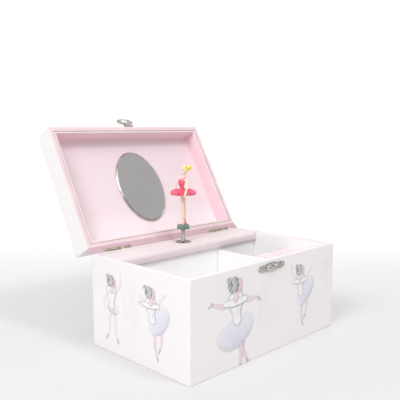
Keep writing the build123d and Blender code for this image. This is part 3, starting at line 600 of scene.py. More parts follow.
class Picture:
    """Watercolour and pencil over a set of face points."""

    def __init__(self, u, v):
        self.u, self.v = u, v
        self.colour = np.tile(PAPER_COLOUR, (len(u), 1))

    def lay(self, mask, colour, strength):
        """Lay one wash of colour where the mask says."""
        cover = np.clip(mask * strength, 0, 1)[:, None]
        self.colour = self.colour * (1 - cover) + np.asarray(colour) * cover

    def local(self, where):
        """The face points in a dancer's own axes: feet at 0, crown of the head near 1."""
        foot_u, foot_v, size, flip, lean = where
        x, y = (self.u - foot_u) / size * flip, (self.v - foot_v) / size
        turn = radians(lean)
        return x * cos(turn) + y * sin(turn), -x * sin(turn) + y * cos(turn), size

    def limb(self, where, points, widths, colour, strength, edge):
        """A rounded shape along a chain, shaded toward one side, with a pencil edge."""
        x, y, size = self.local(where)
        chain, half = curve(points, widths)
        distance = chain_distance(x, y, chain, half) * size
        rough = (wash_noise(self.u, self.v, 1.3) - 0.5) * 0.4
        pool = 0.7 + 0.5 * wash_noise(self.u, self.v, 3.0)
        self.lay(soft_step(distance + rough, 0.5), colour, strength * pool)
        if edge is not None:
            shifted = chain_distance(x + 0.008, y - 0.004, chain, half * 0.82) * size
            self.lay(soft_step(distance, 0.5) * soft_step(-shifted, 0.7), edge, strength * 0.5)
            broken = 0.35 + 0.65 * wash_noise(self.u, self.v, 2.6)
            self.lay(soft_step(np.abs(distance + rough) - 0.22, 0.42) * broken, edge, strength * 0.8)

    def pencil(self, where, points, width, colour, strength):
        """One drawn line, thinner toward its ends."""
        x, y, size = self.local(where)
        widths = [width * 0.35] + [width] * (len(points) - 2) + [width * 0.3]
        chain, half = curve(points, widths)
        distance = chain_distance(x, y, chain, half) * size
        pressure = 0.45 + 0.75 * wash_noise(self.u, self.v, 2.2)
        self.lay(soft_step(distance, 0.45), colour, strength * pressure)

    def hair(self, where, centre, radii, tilt):
        """A head of hair: dark locks with pale streaks along them."""
        x, y, size = self.local(where)
        turn = radians(tilt)
        x, y = x - centre[0], y - centre[1]
        along, across = x * cos(turn) + y * sin(turn), -x * sin(turn) + y * cos(turn)
        distance = (np.hypot(along / radii[0], across / radii[1]) - 1) * min(radii) * size
        locks = wash_noise(across * size * 1.5 + 40, along * size * 0.45, 1.0)
        rough = (wash_noise(self.u, self.v, 1.4) - 0.5) * 1.1
        mask = soft_step(distance + rough, 0.55)
        rim = soft_step(np.abs(distance + rough) - 0.3, 0.5) * wash_noise(self.u, self.v, 2.0)
        self.lay(mask, ASH, 0.765)
        self.lay(mask * soft_step(0.52 - locks, 0.16), SILVER, 0.765)
        self.lay(mask * soft_step(locks - 0.40, 0.12), GRAPHITE, 0.72)
        self.lay(rim, GRAPHITE, 0.9)

    def skirt(self, where, centre, half_width, rise, drop, tilt, strength, pleats):
        """A tulle skirt: a tilted bell with pleats, a scalloped hem and a darker edge."""
        x, y, size = self.local(where)
        x, y = x - centre[0], y - centre[1]
        turn = radians(tilt)
        across, up = x * cos(turn) + y * sin(turn), -x * sin(turn) + y * cos(turn)
        share = np.clip(across / half_width, -1, 1)
        arch = np.sqrt(np.clip(1 - share ** 2, 0, 1))
        scallop = 1 + 0.05 * np.cos(share * pi * pleats * 0.85)
        above, below = up - rise * arch, -drop * arch * scallop - up
        distance = np.maximum(np.maximum(above, below), np.abs(across) - half_width) * size
        rough = (wash_noise(self.u, self.v, 1.6) - 0.5) * 0.6
        mask = soft_step(distance + rough, 0.6)
        fan = np.arctan2(across, up + drop * 1.3 + rise * 1.5)
        low = np.clip((rise * arch - up) / (rise + drop), 0, 1)
        folds = 0.5 + 0.5 * np.cos(fan * pleats * 3.6 + wash_noise(self.u, self.v, 6.0) * 2.5)
        fine = 0.5 + 0.5 * np.cos(fan * pleats * 8.3 + wash_noise(self.u, self.v, 3.0) * 3.0)
        self.lay(mask, (0.86, 0.85, 0.89), strength)
        self.lay(mask * (0.10 + 0.90 * low ** 1.7), LILAC, strength * 0.85)
        self.lay(mask * folds ** 2 * (0.12 + 0.88 * low ** 1.3), LAVENDER, strength * 0.45)
        self.lay(mask * (1 - folds) ** 3 * (0.4 + 0.6 * low), CHALK, strength * 0.55)
        self.lay(mask * fine ** 4 * (0.2 + 0.8 * low), ASH, strength * 0.4)
        self.lay(soft_step(np.abs(distance + rough) - 0.35, 0.5) * (0.2 + 0.8 * low), ASH, strength * 0.8)
        self.lay(mask * soft_step(np.abs(up + drop * arch * 0.80) * size - 0.4, 0.5), ASH, strength * 0.18)

    def mist(self, centre, reach, colour, strength):
        """A loose background wash."""
        away = np.hypot((self.u - centre[0]) / reach[0], (self.v - centre[1]) / reach[1])
        patch = np.clip(1 - away, 0, 1) * (0.35 + 0.9 * wash_noise(self.u, self.v, 9.0))
        self.lay(patch, colour, strength)

    def wisps(self, centre, size, colour, strength):
        """A few loose upright brush lines."""
        where = (centre[0], centre[1], size, 1, 0)
        for shift, low, high, bend in ((-0.20, 0.1, 0.8, 0.05), (-0.05, 0.3, 1.0, 0.08),
                                       (0.10, 0.0, 0.7, 0.06), (0.17, 0.4, 0.95, -0.05)):
            line = [(shift, high), (shift + bend, (low + high) / 2), (shift + bend * 0.3, low)]
            self.pencil(where, line, 0.022, colour, strength)


# A dancer is a list of steps: (tool, its arguments).
def skin(points, widths, strength, edge=ROSE):
    """A step that paints a bare arm, leg, neck or face."""
    return "limb", points, widths, BLUSH, strength, edge


def tip(heel, toe, widths, strength=0.9):
    """A step that paints a shoe or a hand."""
    return "limb", [heel, toe], widths, SILVER, strength, GRAPHITE


FULL_LEG = [0.058, 0.040, 0.028, 0.013]
SLIM_LEG = [0.040, 0.026, 0.020, 0.009]
FULL_ARM = [0.032, 0.027, 0.019, 0.010]
SLIM_ARM = [0.020, 0.016, 0.012, 0.005]
ROUND_ARM = [0.020, 0.017, 0.013, 0.006]
LOW_ARM = [0.019, 0.016, 0.012, 0.005]
LEGS_CROSSED = [
    skin([(0.03, 0.50), (0.05, 0.32), (0.015, 0.17), (-0.02, 0.03)], FULL_LEG, 0.75),
    skin([(-0.02, 0.50), (-0.01, 0.33), (0.05, 0.17), (0.10, 0.05)], FULL_LEG, 0.7),
    tip((-0.015, 0.05), (-0.03, 0.0), [0.014, 0.007]),
    tip((0.095, 0.07), (0.12, 0.03), [0.014, 0.007]),
]
LEGS_STRIDE = [
    skin([(-0.02, 0.50), (-0.07, 0.33), (-0.08, 0.18), (-0.14, 0.05)], SLIM_LEG, 0.34, ASH),
    skin([(0.03, 0.50), (0.07, 0.32), (0.07, 0.17), (0.11, 0.03)], SLIM_LEG, 0.34, ASH),
    tip((-0.135, 0.07), (-0.165, 0.02), [0.013, 0.006]),
    tip((0.105, 0.05), (0.125, 0.0), [0.013, 0.006]),
]
LEGS_ARABESQUE = [
    skin([(0.0, 0.50), (0.0, 0.32), (-0.02, 0.17), (0.0, 0.03)], [0.044, 0.029, 0.021, 0.010], 0.7),
    skin([(0.03, 0.49), (0.14, 0.36), (0.10, 0.20), (0.06, 0.13)], [0.040, 0.027, 0.019, 0.009], 0.6),
    tip((0.0, 0.05), (0.012, 0.0), [0.015, 0.007]),
    tip((0.07, 0.15), (0.035, 0.10), [0.013, 0.007]),
]
BODICE = [
    ("limb", [(0.0, 0.55), (0.0, 0.62), (0.0, 0.70), (0.0, 0.76)], [0.066, 0.064, 0.095, 0.118],
     CHALK, 0.95, ASH),
    ("pencil", [(0.0, 0.56), (0.006, 0.64), (0.0, 0.74)], 0.004, ASH, 0.6),
    ("pencil", [(-0.042, 0.57), (-0.046, 0.65), (-0.07, 0.74)], 0.004, LAVENDER, 0.7),
    ("pencil", [(0.042, 0.57), (0.046, 0.65), (0.07, 0.74)], 0.006, ASH, 0.6),
]
COLLAR = [
    ("limb", [(-0.16, 0.765), (-0.07, 0.745), (0.06, 0.73), (0.15, 0.73)], [0.032, 0.042, 0.042, 0.032],
     CHALK, 0.95, ASH),
    ("pencil", [(-0.18, 0.745), (-0.07, 0.707), (0.06, 0.692), (0.17, 0.705)], 0.006, ASH, 0.7),
]
HEAD = [
    skin([(0.0, 0.77), (0.022, 0.84)], [0.040, 0.034], 0.85),
    skin([(0.062, 0.862), (0.060, 0.915)], [0.042, 0.056], 0.9),
    ("hair", (-0.016, 0.920), (0.086, 0.078), 72),
    ("hair", (-0.075, 0.985), (0.036, 0.030), 30),
    ("limb", [(0.088, 0.852), (0.098, 0.860)], [0.012, 0.010], ROSE, 0.55, None),
]
ARMS_SECOND = [
    skin([(-0.11, 0.76), (-0.20, 0.755), (-0.28, 0.79), (-0.35, 0.83)], FULL_ARM, 0.75),
    skin([(0.11, 0.74), (0.20, 0.70), (0.28, 0.69), (0.36, 0.65)], FULL_ARM, 0.75),
    tip((-0.34, 0.825), (-0.39, 0.81), [0.014, 0.006], 0.7),
    tip((0.35, 0.67), (0.385, 0.625), [0.014, 0.006], 0.7),
]
ARMS_ROUND = [
    skin([(-0.06, 0.755), (-0.15, 0.84), (-0.16, 0.97), (-0.07, 1.07)], ROUND_ARM, 0.38, ASH),
    skin([(0.06, 0.755), (0.16, 0.84), (0.17, 0.97), (0.08, 1.08)], ROUND_ARM, 0.38, ASH),
]
ARMS_FORWARD = [
    skin([(-0.05, 0.75), (-0.16, 0.83), (-0.21, 0.96), (-0.19, 1.06)], SLIM_ARM, 0.34, ASH),
    skin([(0.06, 0.75), (0.16, 0.76), (0.25, 0.84), (0.34, 0.90)], SLIM_ARM, 0.34, ASH),
]
ARMS_LOW = [
    skin([(-0.06, 0.75), (-0.15, 0.66), (-0.20, 0.55), (-0.16, 0.47)], LOW_ARM, 0.34, ASH),
    skin([(0.06, 0.75), (0.17, 0.82), (0.23, 0.94), (0.22, 1.05)], LOW_ARM, 0.34, ASH),
]
# A skirt step's numbers are centre, half width, rise, drop, tilt, strength and pleats.
GRAND_SKIRT = ("skirt", (-0.04, 0.47), 0.285, 0.10, 0.205, 10, 1.0, 21)
WALKING_SKIRT = ("skirt", (0.02, 0.54), 0.155, 0.06, 0.105, -22, 0.8, 9)
TURNING_SKIRT = ("skirt", (0.0, 0.54), 0.21, 0.06, 0.13, 6, 0.9, 12)
LEANING_SKIRT = ("skirt", (0.12, 0.55), 0.265, 0.15, 0.16, 38, 0.95, 13)
GRAND = [*LEGS_CROSSED, GRAND_SKIRT, *BODICE, *ARMS_SECOND, *COLLAR, *HEAD]
WALKING = [*LEGS_STRIDE, WALKING_SKIRT, *BODICE, *ARMS_LOW, *HEAD]
TURNING = [*LEGS_CROSSED, TURNING_SKIRT, *BODICE, *ARMS_ROUND, *COLLAR, *HEAD]
LEANING = [*LEGS_ARABESQUE, LEANING_SKIRT, *BODICE, *ARMS_FORWARD, *COLLAR, *HEAD]

# Dancers on each face: (steps, (foot across, foot up, height, flip, lean)).
FRONT_DANCERS = [(GRAND, (-35.0, -4.0, 74.0, 1, 7)), (LEANING, (44.0, 11.0, 54.0, 1, 6))]
LEFT_DANCERS = [(WALKING, (-29.5, 9.0, 54.0, 1, 2)), (LEANING, (24.0, 9.0, 55.0, 1, 10))]
RIGHT_DANCERS = [(TURNING, (-26.0, 9.0, 50.0, 1, 0)), (LEANING, (24.0, 9.0, 54.0, -1, 0))]
BACK_DANCERS = [(WALKING, (-56.0, 9.0, 52.0, 1, 0)), (TURNING, (56.0, 9.0, 50.0, 1, 0))]
LID_DANCERS = [(GRAND, (0.0, -46.0, 92.0, 1, 4)), (TURNING, (-56.0, -36.0, 60.0, 1, 0)),
               (LEANING, (54.0, -36.0, 62.0, -1, 0))]
MISTS = [((-40.0, 60.0), (42.0, 26.0), (0.76, 0.75, 0.80), 0.16), ((-6.0, 34.0), (18.0, 34.0), MIST, 0.30),
         ((42.0, 36.0), (26.0, 34.0), (0.88, 0.83, 0.87), 0.22), ((80.0, 52.0), (9.0, 22.0), ASH, 0.07),
         ((-70.0, 10.0), (30.0, 20.0), (0.90, 0.82, 0.84), 0.20)]
WISPS = [((-8.0, 22.0), 38.0), ((-56.0, 50.0), 22.0), ((76.0, 40.0), 26.0)]


def paint(u, v, dancers):
    """The printed colours of one face."""
    picture = Picture(u, v)
    for centre, reach, colour, strength in MISTS:
        picture.mist(centre, reach, colour, strength)
    for centre, size in WISPS:
        picture.wisps(centre, size, SILVER, 0.22)
    for steps, where in dancers:
        for tool, *details in steps:
            getattr(picture, tool)(where, *details)
    return picture.colour


PRINT_STEP = 0.6
PLAIN_STEP = 8.0
CASE_PAPER = 0.32
LID_PAPER = 0.3
PAPER_FOOT = 0.05


def print_lines(half, dancers):
    """Positions along one face: fine steps where its dancers are, coarse elsewhere."""
    lines = set(np.round(np.arange(-half + CORNER, half - CORNER + 0.01, PLAIN_STEP), 3))
    for _, (foot, _, size, _, _) in dancers:
        low, high = max(foot - 0.4 * size, -half + CORNER), min(foot + 0.4 * size, half - CORNER)
        lines |= set(np.round(np.arange(low, high, PRINT_STEP), 3))
    kept = []
    for line in sorted(lines):
        if not kept or line - kept[-1] > PRINT_STEP * 0.5:
            kept.append(line)
    return kept


def set_print(piece, colours):
    """Store printed colours on a mesh."""
    layer = piece.data.color_attributes.new("print", "FLOAT_COLOR", "POINT")
    opaque = np.column_stack([colours, np.ones(len(colours))])
    layer.data.foreach_set("color", opaque.astype(np.float32).ravel())


def make_case_paper():
    """The printed paper round the case, one closed skin with rounded corners."""
    x_lines = print_lines(CASE_HALF_X, FRONT_DANCERS + BACK_DANCERS)
    y_lines = print_lines(CASE_HALF_Y, LEFT_DANCERS + RIGHT_DANCERS)

    def loop(inset, *heights):
        """The outline at a distance in from the faces, once at each height."""
        outline = rounded_loop(CASE_HALF_X - inset, CASE_HALF_Y - inset, CORNER - inset, x_lines, y_lines)
        return [(x, y, z) for z in heights for x, y in outline]

    rows = np.arange(PRINT_STEP, CASE_TOP - 0.3, PRINT_STEP)
    points = loop(0.0, PAPER_FOOT, *rows, CASE_TOP - 0.25, CASE_TOP - 0.05) + loop(0.12, CASE_TOP)
    points += loop(CASE_PAPER, CASE_TOP, PAPER_FOOT) + loop(0.0, PAPER_FOOT)
    count = len(loop(0.0, PAPER_FOOT))
    total = len(points) // count
    piece = mesh_piece("case_paper", points, quads(total, count, True) + closing_quads(total, count))
    sharpen(piece, 50)
    x, y, z = np.array(points).T
    colours = np.tile(PAPER_COLOUR, (len(points), 1))
    for face, across, dancers in (
        (y < -CASE_HALF_Y + 0.2, x, FRONT_DANCERS), (y > CASE_HALF_Y - 0.2, -x, BACK_DANCERS),
        (x < -CASE_HALF_X + 0.2, -y, LEFT_DANCERS), (x > CASE_HALF_X - 0.2, y, RIGHT_DANCERS),
    ):
        colours[face] = paint(across[face], z[face], dancers)
    set_print(piece, colours)
    place(wear(piece, "print"), "case", "case_paper", "case_wrap")


def make_lid_paper():
    """The printed paper over the lid: a shell with its edges rounded over the boards."""
    x_lines = print_lines(CASE_HALF_X, LID_DANCERS)
    flat_x, flat_y = CASE_HALF_X - CORNER, CASE_HALF_Y - CORNER
    y_lines = list(np.arange(-flat_y, flat_y, PRINT_STEP))
    rows = [(0.0, height) for height in np.linspace(PAPER_FOOT, LID_TOP - CORNER, 5)]
    for step in range(1, 4):
        angle = step / 4 * pi / 2
        rows.append((CORNER * (1 - cos(angle)), LID_TOP - CORNER + CORNER * sin(angle)))
    points = []
    for inset, height in rows:
        corner = max(CORNER - inset, 0.05)
        loop = rounded_loop(CASE_HALF_X - inset, CASE_HALF_Y - inset, corner, x_lines, y_lines)
        points += [(x, y, height) for x, y in loop]
    faces = quads(len(rows), len(loop), True)
    grid_start = len(points)
    grid_x = sorted({-flat_x, flat_x, *x_lines})
    grid_y = sorted({-flat_y, flat_y, *y_lines})
    points += [(x, y, LID_TOP) for y in grid_y for x in grid_x]
    faces += [[grid_start + index for index in face] for face in quads(len(grid_y), len(grid_x), False)]
    piece = mesh_piece("lid_paper", to_lid(points), faces)
    x, y, z = np.array(points).T
    top = z > LID_TOP - 0.2
    colours = np.tile(PAPER_COLOUR, (len(points), 1))
    colours[top] = paint(-x[top], -y[top], LID_DANCERS)
    set_print(piece, colours)
    wear(piece, "print")
    modifier = piece.modifiers.new("thickness", "SOLIDIFY")
    modifier.thickness = LID_PAPER * MM
    modifier.offset = -1
    apply_modifiers(piece)
    sharpen(piece, 50)
    place(piece, "lid", "case_paper", "lid_wrap")


def ring_strip(name, to_world, profile, half_x, half_y, corner):
    """A strip swept round a rectangle: profile points are (distance in from the edge, height)."""
    points = []
    for inset, height in profile:
        loop = rounded_loop(half_x - inset, half_y - inset, max(corner - inset, 0.06), steps=5)
        points += [(x, y, height) for x, y in loop]
    faces = quads(len(profile), len(loop), True) + closing_quads(len(profile), len(loop))
    return sharpen(mesh_piece(name, to_world(points), faces), 40)


def make_rims():
    """The paper folded over the top edges of the case and round the lid's opening."""
    board_width = CASE_HALF_X - INNER_X
    case_rim = ring_strip("case_rim_paper", to_case, [
        (0.14, CASE_TOP - 0.02), (0.35, CASE_TOP + 0.12), (board_width - 0.5, CASE_TOP + 0.14),
        (board_width + 0.05, CASE_TOP - 0.1), (board_width + 0.18, CASE_TOP - 1.2),
        (board_width - 0.05, CASE_TOP - 1.2), (board_width - 0.1, CASE_TOP - 0.2), (0.3, CASE_TOP - 0.02),
    ], CASE_HALF_X, CASE_HALF_Y, CORNER)
    place(wear(case_rim, "case_rim_paper"), "case", "pink_lining")
    lid_rim = ring_strip("lid_rim_paper", to_lid, [
        (0.02, 0.9), (0.02, 0.25), (0.30, -0.02), (board_width - 0.5, -0.03),
        (board_width - 0.02, 0.1), (board_width - 0.02, 3.0), (board_width - 0.2, 3.0),
        (board_width - 0.2, 0.3), (0.36, 0.12), (0.2, 0.9),
    ], CASE_HALF_X, CASE_HALF_Y, CORNER)
    place(wear(lid_rim, "rim_paper"), "lid", "pink_lining")


make_case_paper()
make_lid_paper()
make_rims()


# ------------------------------------------------------------------ lid lining and mirror
def make_lid_lining():
    """The card lining that stands inside the lid, with a soft folded lip."""
    reach, thickness, lip = 0.42, 1.6, 0.55
    half_x, half_y = lid_extent("lid_wall_lining")[1][:2] + reach
    walls = ring_strip("lid_lining_card", to_lid, [
        (0.0, PANEL_FACE), (0.0, lip), (0.25, 0.22), (thickness - 0.25, 0.22), (thickness, lip),
        (thickness, PANEL_FACE - 0.8), (thickness + 0.8, PANEL_FACE), (0.0, PANEL_FACE),
    ], half_x, half_y, 1.0)
    wear(walls, "pink_paper", "lip_paper")
    for face in walls.data.polygons:
        height = (np.array(face.center) / MM - lid_origin) @ LID_UP
        face.material_index = 1 if height < 0.5 else 0
    place(walls, "lid", "pink_lining", "lid_wall_lining")


def make_mirror():
    """The oval mirror with a ground bevel round its edge."""
    low, high = lid_extent("mirror")
    centre, half = (low + high) / 2, (high - low) / 2
    sides = 128
    outline = [(0.0, high[2]), (0.0, low[2] + 0.75), (0.25, low[2] + 0.5), (1.35, low[2]), (1.8, low[2]),
               (10.0, low[2])]
    bevel_rows = 3
    points = [(centre[0] + (half[0] - inset) * cos(angle), centre[1] + (half[1] - inset) * sin(angle), height)
              for inset, height in outline for angle in ring(sides)]
    faces = quads(len(outline), sides, True) + caps(len(outline), sides)
    piece = sharpen(mesh_piece("mirror_glass", to_lid(points), faces), 8)
    wear(piece, "mirror", "mirror_bevel")
    for face in piece.data.polygons:
        face.material_index = 1 if face.index < bevel_rows * sides else 0
    place(piece, "lid", "mirror_glass", "mirror")


def make_hinge_strip():
    """The paper strip that covers the joint behind the lid, slotted over the hinge knuckles."""
    setback, thickness, slot_width = 0.85, 0.14, 30.8
    case_edge = np.array([CASE_HALF_Y - setback, CASE_TOP - 0.1])
    lid_edge = to_lid([(0.0, CASE_HALF_Y - setback, 0.1)])[0][1:]
    run = lid_edge - case_edge
    across = np.array([-run[1], run[0]]) / np.hypot(*run) * thickness
    ends = CASE_HALF_X - 0.3
    slot_outer = box_mm("case_hinge_leaves")[1][0] + 0.4
    slot_inner = slot_outer - slot_width
    patches = [(-slot_inner, slot_inner, 0.0, 1.0)]
    for side in (-1, 1):
        patches.append((*sorted((side * slot_outer, side * ends)), 0.0, 1.0))
        patches.append((*sorted((side * slot_inner, side * slot_outer)), 0.5, 1.0))
    points, faces = [], []
    for left, right, low, high in patches:
        steps = max(1, round((high - low) * 8))
        start = len(points)
        for face in (1, -1):
            for step in range(steps + 1):
                y, z = case_edge + run * (low + (high - low) * step / steps) + across * face
                points += [(left, y, z), (right, y, z)]
        count = 2 * (steps + 1)
        for a in range(start, start + 2 * steps, 2):
            b = a + count
            faces += [(a, a + 1, a + 3, a + 2), (b, b + 2, b + 3, b + 1)]
            faces += [(a, a + 2, b + 2, b), (a + 1, b + 1, b + 3, a + 3)]
        for a in (start, start + 2 * steps):
            faces.append((a, a + count, a + count + 1, a + 1))
    piece = mesh_piece("hinge_strip_paper", points, faces)
    sharpen(piece, 40)
    # The strip's pink paper is darkened with painted shade for its recess behind the lid.
    wear(piece, "hinge_paper_painted_shade")
    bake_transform(piece)


make_lid_lining()
make_mirror()
make_hinge_strip()


# ------------------------------------------------------------------ soft deck and ring cushion
CLOTH_FRAMES = 20


def plump(piece, voxel_mm, pressure, cap_mm):
    """Inflate a closed shape as cloth, keeping each point within cap_mm of where it began."""
    remesh = piece.modifiers.new("remesh", "REMESH")
    remesh.mode = "VOXEL"
    remesh.voxel_size = voxel_mm * MM
    apply_modifiers(piece)
    before = points_of(piece)
    cloth = piece.modifiers.new("cloth", "CLOTH")
    cloth.settings.use_pressure = True
    cloth.settings.uniform_pressure_force = pressure
    cloth.settings.tension_stiffness = 12
    cloth.settings.compression_stiffness = 12
    cloth.settings.effector_weights.gravity = 0
    cloth.point_cache.frame_end = CLOTH_FRAMES
    for number in range(1, CLOTH_FRAMES + 1):
        scene.frame_set(number)
    apply_modifiers(piece)
    scene.frame_set(1)
    shift = points_of(piece) - before
    scale = np.minimum(1.0, cap_mm * MM / np.maximum(np.linalg.norm(shift, axis=1), 1e-9))
    move_points(piece, before + shift * scale[:, None])


def hold_inside(piece, low, high):
    """Press a soft piece back inside a box, as its neighbours do."""
    move_points(piece, np.clip(points_of(piece) / MM, low, high) * MM)


def ripple(piece, amount_mm, cell_mm, seed, mask=None):
    """Move points along their normals by smooth noise, like cloth that doesn't lie quite flat."""
    co = points_of(piece) / MM
    normals = np.array([v.normal for v in piece.data.vertices])
    rough = wash_noise(co[:, 0] + seed, co[:, 1] + co[:, 2] * 0.7, cell_mm) - 0.5
    rough += 0.5 * (wash_noise(co[:, 0] + seed * 3, co[:, 1] - co[:, 2], cell_mm * 0.45) - 0.5)
    if mask is not None:
        rough = rough * mask(co)
    move_points(piece, (co + normals * rough[:, None] * amount_mm) * MM)


def make_deck_cloth():
    """The padded deck over the movement: cloth wrapped over foam, rounded at its front edge."""
    low, high = box_mm("deck_pad")
    front, back, top = low[1], high[1], high[2]
    lip_back, underside = front + 2.4, top - 4.9
    corner, turns, back_steps, x_count = 3.6, 8, 22, 150
    profile = [(lip_back, low[2] + 0.3), (front + 1.0, low[2]), (front + 0.2, low[2] + 0.6),
               (front, top - corner - 2.5), (front, top - corner - 1.0)]
    for step in range(turns + 1):
        angle = step / turns * pi / 2
        profile.append((front + corner - corner * cos(angle), top - corner + corner * sin(angle)))
    for step in range(1, back_steps + 1):
        share = step / back_steps
        profile.append((front + corner + (back - front - corner - 0.9) * share, top - 0.05))
    profile += [(back - 0.3, top - 0.35), (back, top - 1.2), (back, underside), (lip_back, underside)]
    points = []
    for number in range(x_count + 1):
        share = number / x_count
        tuck = min(share, 1 - share) * (high[0] - low[0])
        drop = 0.9 * max(0.0, 1 - tuck / 1.6) ** 2
        x = low[0] + (high[0] - low[0]) * share
        points += [(x, y, z - drop if z > underside + 0.5 else z) for y, z in profile]
    rows = len(profile)
    piece = mesh_piece("deck_cloth", points, quads(x_count + 1, rows, True) + caps(x_count + 1, rows))

    def slack(co):
        """How loose the cloth is: most at the front edge, none round the eyelet."""
        near_edge = np.clip((top + 1 - co[:, 2]) / 9.0, 0.25, 1.0)
        hole = np.clip((np.hypot(co[:, 0], co[:, 1] - figure_y) - 7.5) / 8.0, 0, 1)
        return near_edge * hole * (co[:, 2] > underside + 0.3)

    ripple(piece, 1.1, 17.0, 11.0, slack)
    hold_inside(piece, low - np.array([0, 0.3, 0]), high)
    sharpen(piece, 60)
    place(wear(piece, "pink_cloth"), "case", "pink_fabric", "deck_pad")


def make_ring_cushion():
    """Three stuffed rolls side by side, sewn into one ring cushion."""
    low, high = box_mm("ring_cushion")
    rolls, steps, margin = 3, 26, 0.8
    pitch = (high[1] - low[1]) / rolls
    radius = pitch / 2 - 0.6
    length = high[0] - low[0] - 2 * margin
    pieces = []
    for number in range(rolls):
        path, radii = [], []
        roll_y = low[1] + (number + 0.5) * pitch
        for step in range(steps + 1):
            share = step / steps
            end = min(share, 1 - share) * length
            path.append((low[0] + margin + length * share, roll_y, high[2] - radius - 0.4))
            radii.append(radius * (1 - max(0.0, 1 - end / (radius * 0.8)) ** 2 * 0.45))
        pieces.append(tube("roll", path, radii, 28))
    middle = (low + high) / 2
    half_x, half_y = (high - low)[:2] / 2 - margin
    outline = rounded_loop(half_x, half_y, 3.0, steps=5)
    heights = low[2] + 0.6, high[2] - pitch * 0.62
    base = [(middle[0] + x, middle[1] + y, z) for z in heights for x, y in outline]
    pieces.append(mesh_piece("base", base, quads(2, len(outline), True) + caps(2, len(outline))))
    piece = join("ring_cushion_cloth", pieces)
    plump(piece, 1.5, 2.0, 1.2)
    ripple(piece, 0.8, 8.0, 5.0)
    hold_inside(piece, low + 0.1, high - np.array([0.1, 0.1, -0.2]))
    smooth = piece.modifiers.new("smooth", "SMOOTH")
    smooth.factor = 0.5
    smooth.iterations = 3
    apply_modifiers(piece)
    shade_smooth(piece.data)
    place(wear(piece, "ring_cloth"), "case", "pink_fabric", "ring_cushion")


make_deck_cloth()
make_ring_cushion()


# ------------------------------------------------------------------ metal fittings
def make_eyelet():
    """The rolled metal eyelet in the deck."""
    low, high = box_mm("eyelet")
    outer, top = (high[0] - low[0]) / 2, high[2]
    profile = [(3.3, low[2]), (3.3, top - 0.5), (3.7, top - 0.02), (4.6, top + 0.12),
               (outer - 1.0, top - 0.02), (outer - 0.25, top - 0.22), (outer, top - 0.42),
               (outer - 0.4, top - 0.5), (4.2, top - 0.5), (4.0, top - 1.0), (4.0, low[2])]
    piece = sharpen(turned("eyelet_metal", profile, (0, figure_y), 64), 50)
    place(wear(piece, "aged_nickel"), "case", "nickel", "eyelet")


def make_spring():
    """The close-wound coil spring that carries the dancer."""
    low, high = box_mm("dancer_spring")
    wire, turns, turn_steps = 0.32, 15, 20
    steps = turns * turn_steps
    middle = (high[0] - low[0]) / 2 - wire
    path = []
    for step in range(steps + 1):
        angle = 2 * pi * turns * step / steps
        height = low[2] + wire + (high[2] - low[2] - 2 * wire) * step / steps
        path.append((middle * cos(angle), figure_y + middle * sin(angle), height))
    piece = wear(tube("dancer_spring_coil", path, [wire] * len(path), 8), "spring_chrome")
    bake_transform(piece)
    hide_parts("dancer_spring")


RELIEF_FACE = 0.85
PLATE_HALF_HEIGHT = 3.6


def curl(centre, start_radius, end_radius, start, turns):
    """A flat spiral of (across, up) points; negative turns wind clockwise."""
    steps = 30
    path = []
    for step in range(steps + 1):
        share = step / steps
        radius = start_radius + (end_radius - start_radius) * share
        angle = start + turns * 2 * pi * share
        path.append((centre[0] + radius * cos(angle), centre[1] + radius * 0.8 * sin(angle)))
    return path


def make_relief(name, to_world, centre_y, body):
    """Pressed scrollwork on a stamped plate, with a ridge round its slot."""
    def wire(part, path, radius):
        """A ridge along (across, up) points on the plate's face."""
        world = to_world([(x, -CASE_HALF_Y - RELIEF_FACE, centre_y + y) for x, y in path])
        return tube(part, world, [radius] * len(path), 8)

    scrolls = []
    for side in (-1, 1):
        for up in (-1, 1):
            large = curl((side * 8.6, up * 1.2), 1.5, 0.45, pi / 2 * up, 1.1 * side * up)
            small = curl((side * 11.9, up * 0.75), 0.95, 0.35, -pi / 2 * up, -side * up)
            scrolls += [wire("scroll", large, 0.28), wire("scroll", small, 0.24)]
        scrolls.append(wire("scroll", [(side * 6.3, -2.4), (side * 7.0, 0.0), (side * 6.3, 2.4)], 0.3))
    eye_steps = 40
    lens = []
    for step in range(eye_steps + 1):
        angle = 2 * pi * step / eye_steps
        lens.append((5.4 * cos(angle), 2.15 * sin(angle) * (1 - 0.25 * abs(cos(angle)))))
    place(wear(join(name, scrolls), "nickel"), body, "nickel")
    # The eye ridge wears a much lighter nickel than the plate: a painted highlight.
    place(wear(wire(name + "_eye", lens, 0.5), "nickel_painted_highlight"), body, "nickel")


make_eyelet()
make_spring()
catch_low, catch_high = box_mm("catch_plate")
make_relief("catch_scrolls", to_case, (catch_low[2] + catch_high[2]) / 2, "case")
make_relief("hasp_scrolls", to_lid, lid_extent("hasp_plate")[1][2] - PLATE_HALF_HEIGHT, "lid")
# Small hardware and boards: the CAD node, the rounding of its edges, its material.
for node, width, material in (
    ("catch_plate", 0.25, "nickel"), ("catch_nails", 0.2, "nickel"), ("hasp_plate", 0.2, "nickel"),
    ("hasp_nails", 0.2, "nickel"), ("hasp_leaf", 0.22, "nickel"), ("hasp_pin", 0.15, "nickel"),
    ("case_hinge_leaves", 0.15, "hinge_brass"), ("lid_hinge_leaves", 0.15, "hinge_brass"),
    ("hinge_pins", 0.25, "hinge_brass"), ("case_hinge_nails", 0.2, "hinge_brass"),
    ("lid_hinge_nails", 0.2, "hinge_brass"), ("winding_key", 0.4, "steel"),
    ("movement_screws", 0.25, "steel"), ("stop_wire", 0.2, "steel"), ("dancer_disc", 0.5, "green_plastic"),
    ("divider_board", 0.5, "white_paper"), ("partition_board", 0.3, "white_paper"),
):
    softened(node, width, material)

# The pressed end of the stop wire sits a hair below the paper of the closed lid.
STOP_DROP = 0.12
for vertex in bpy.data.objects["stop_wire_rounded"].data.vertices:
    if vertex.co.z > CASE_TOP * MM:
        vertex.co.z -= STOP_DROP * MM


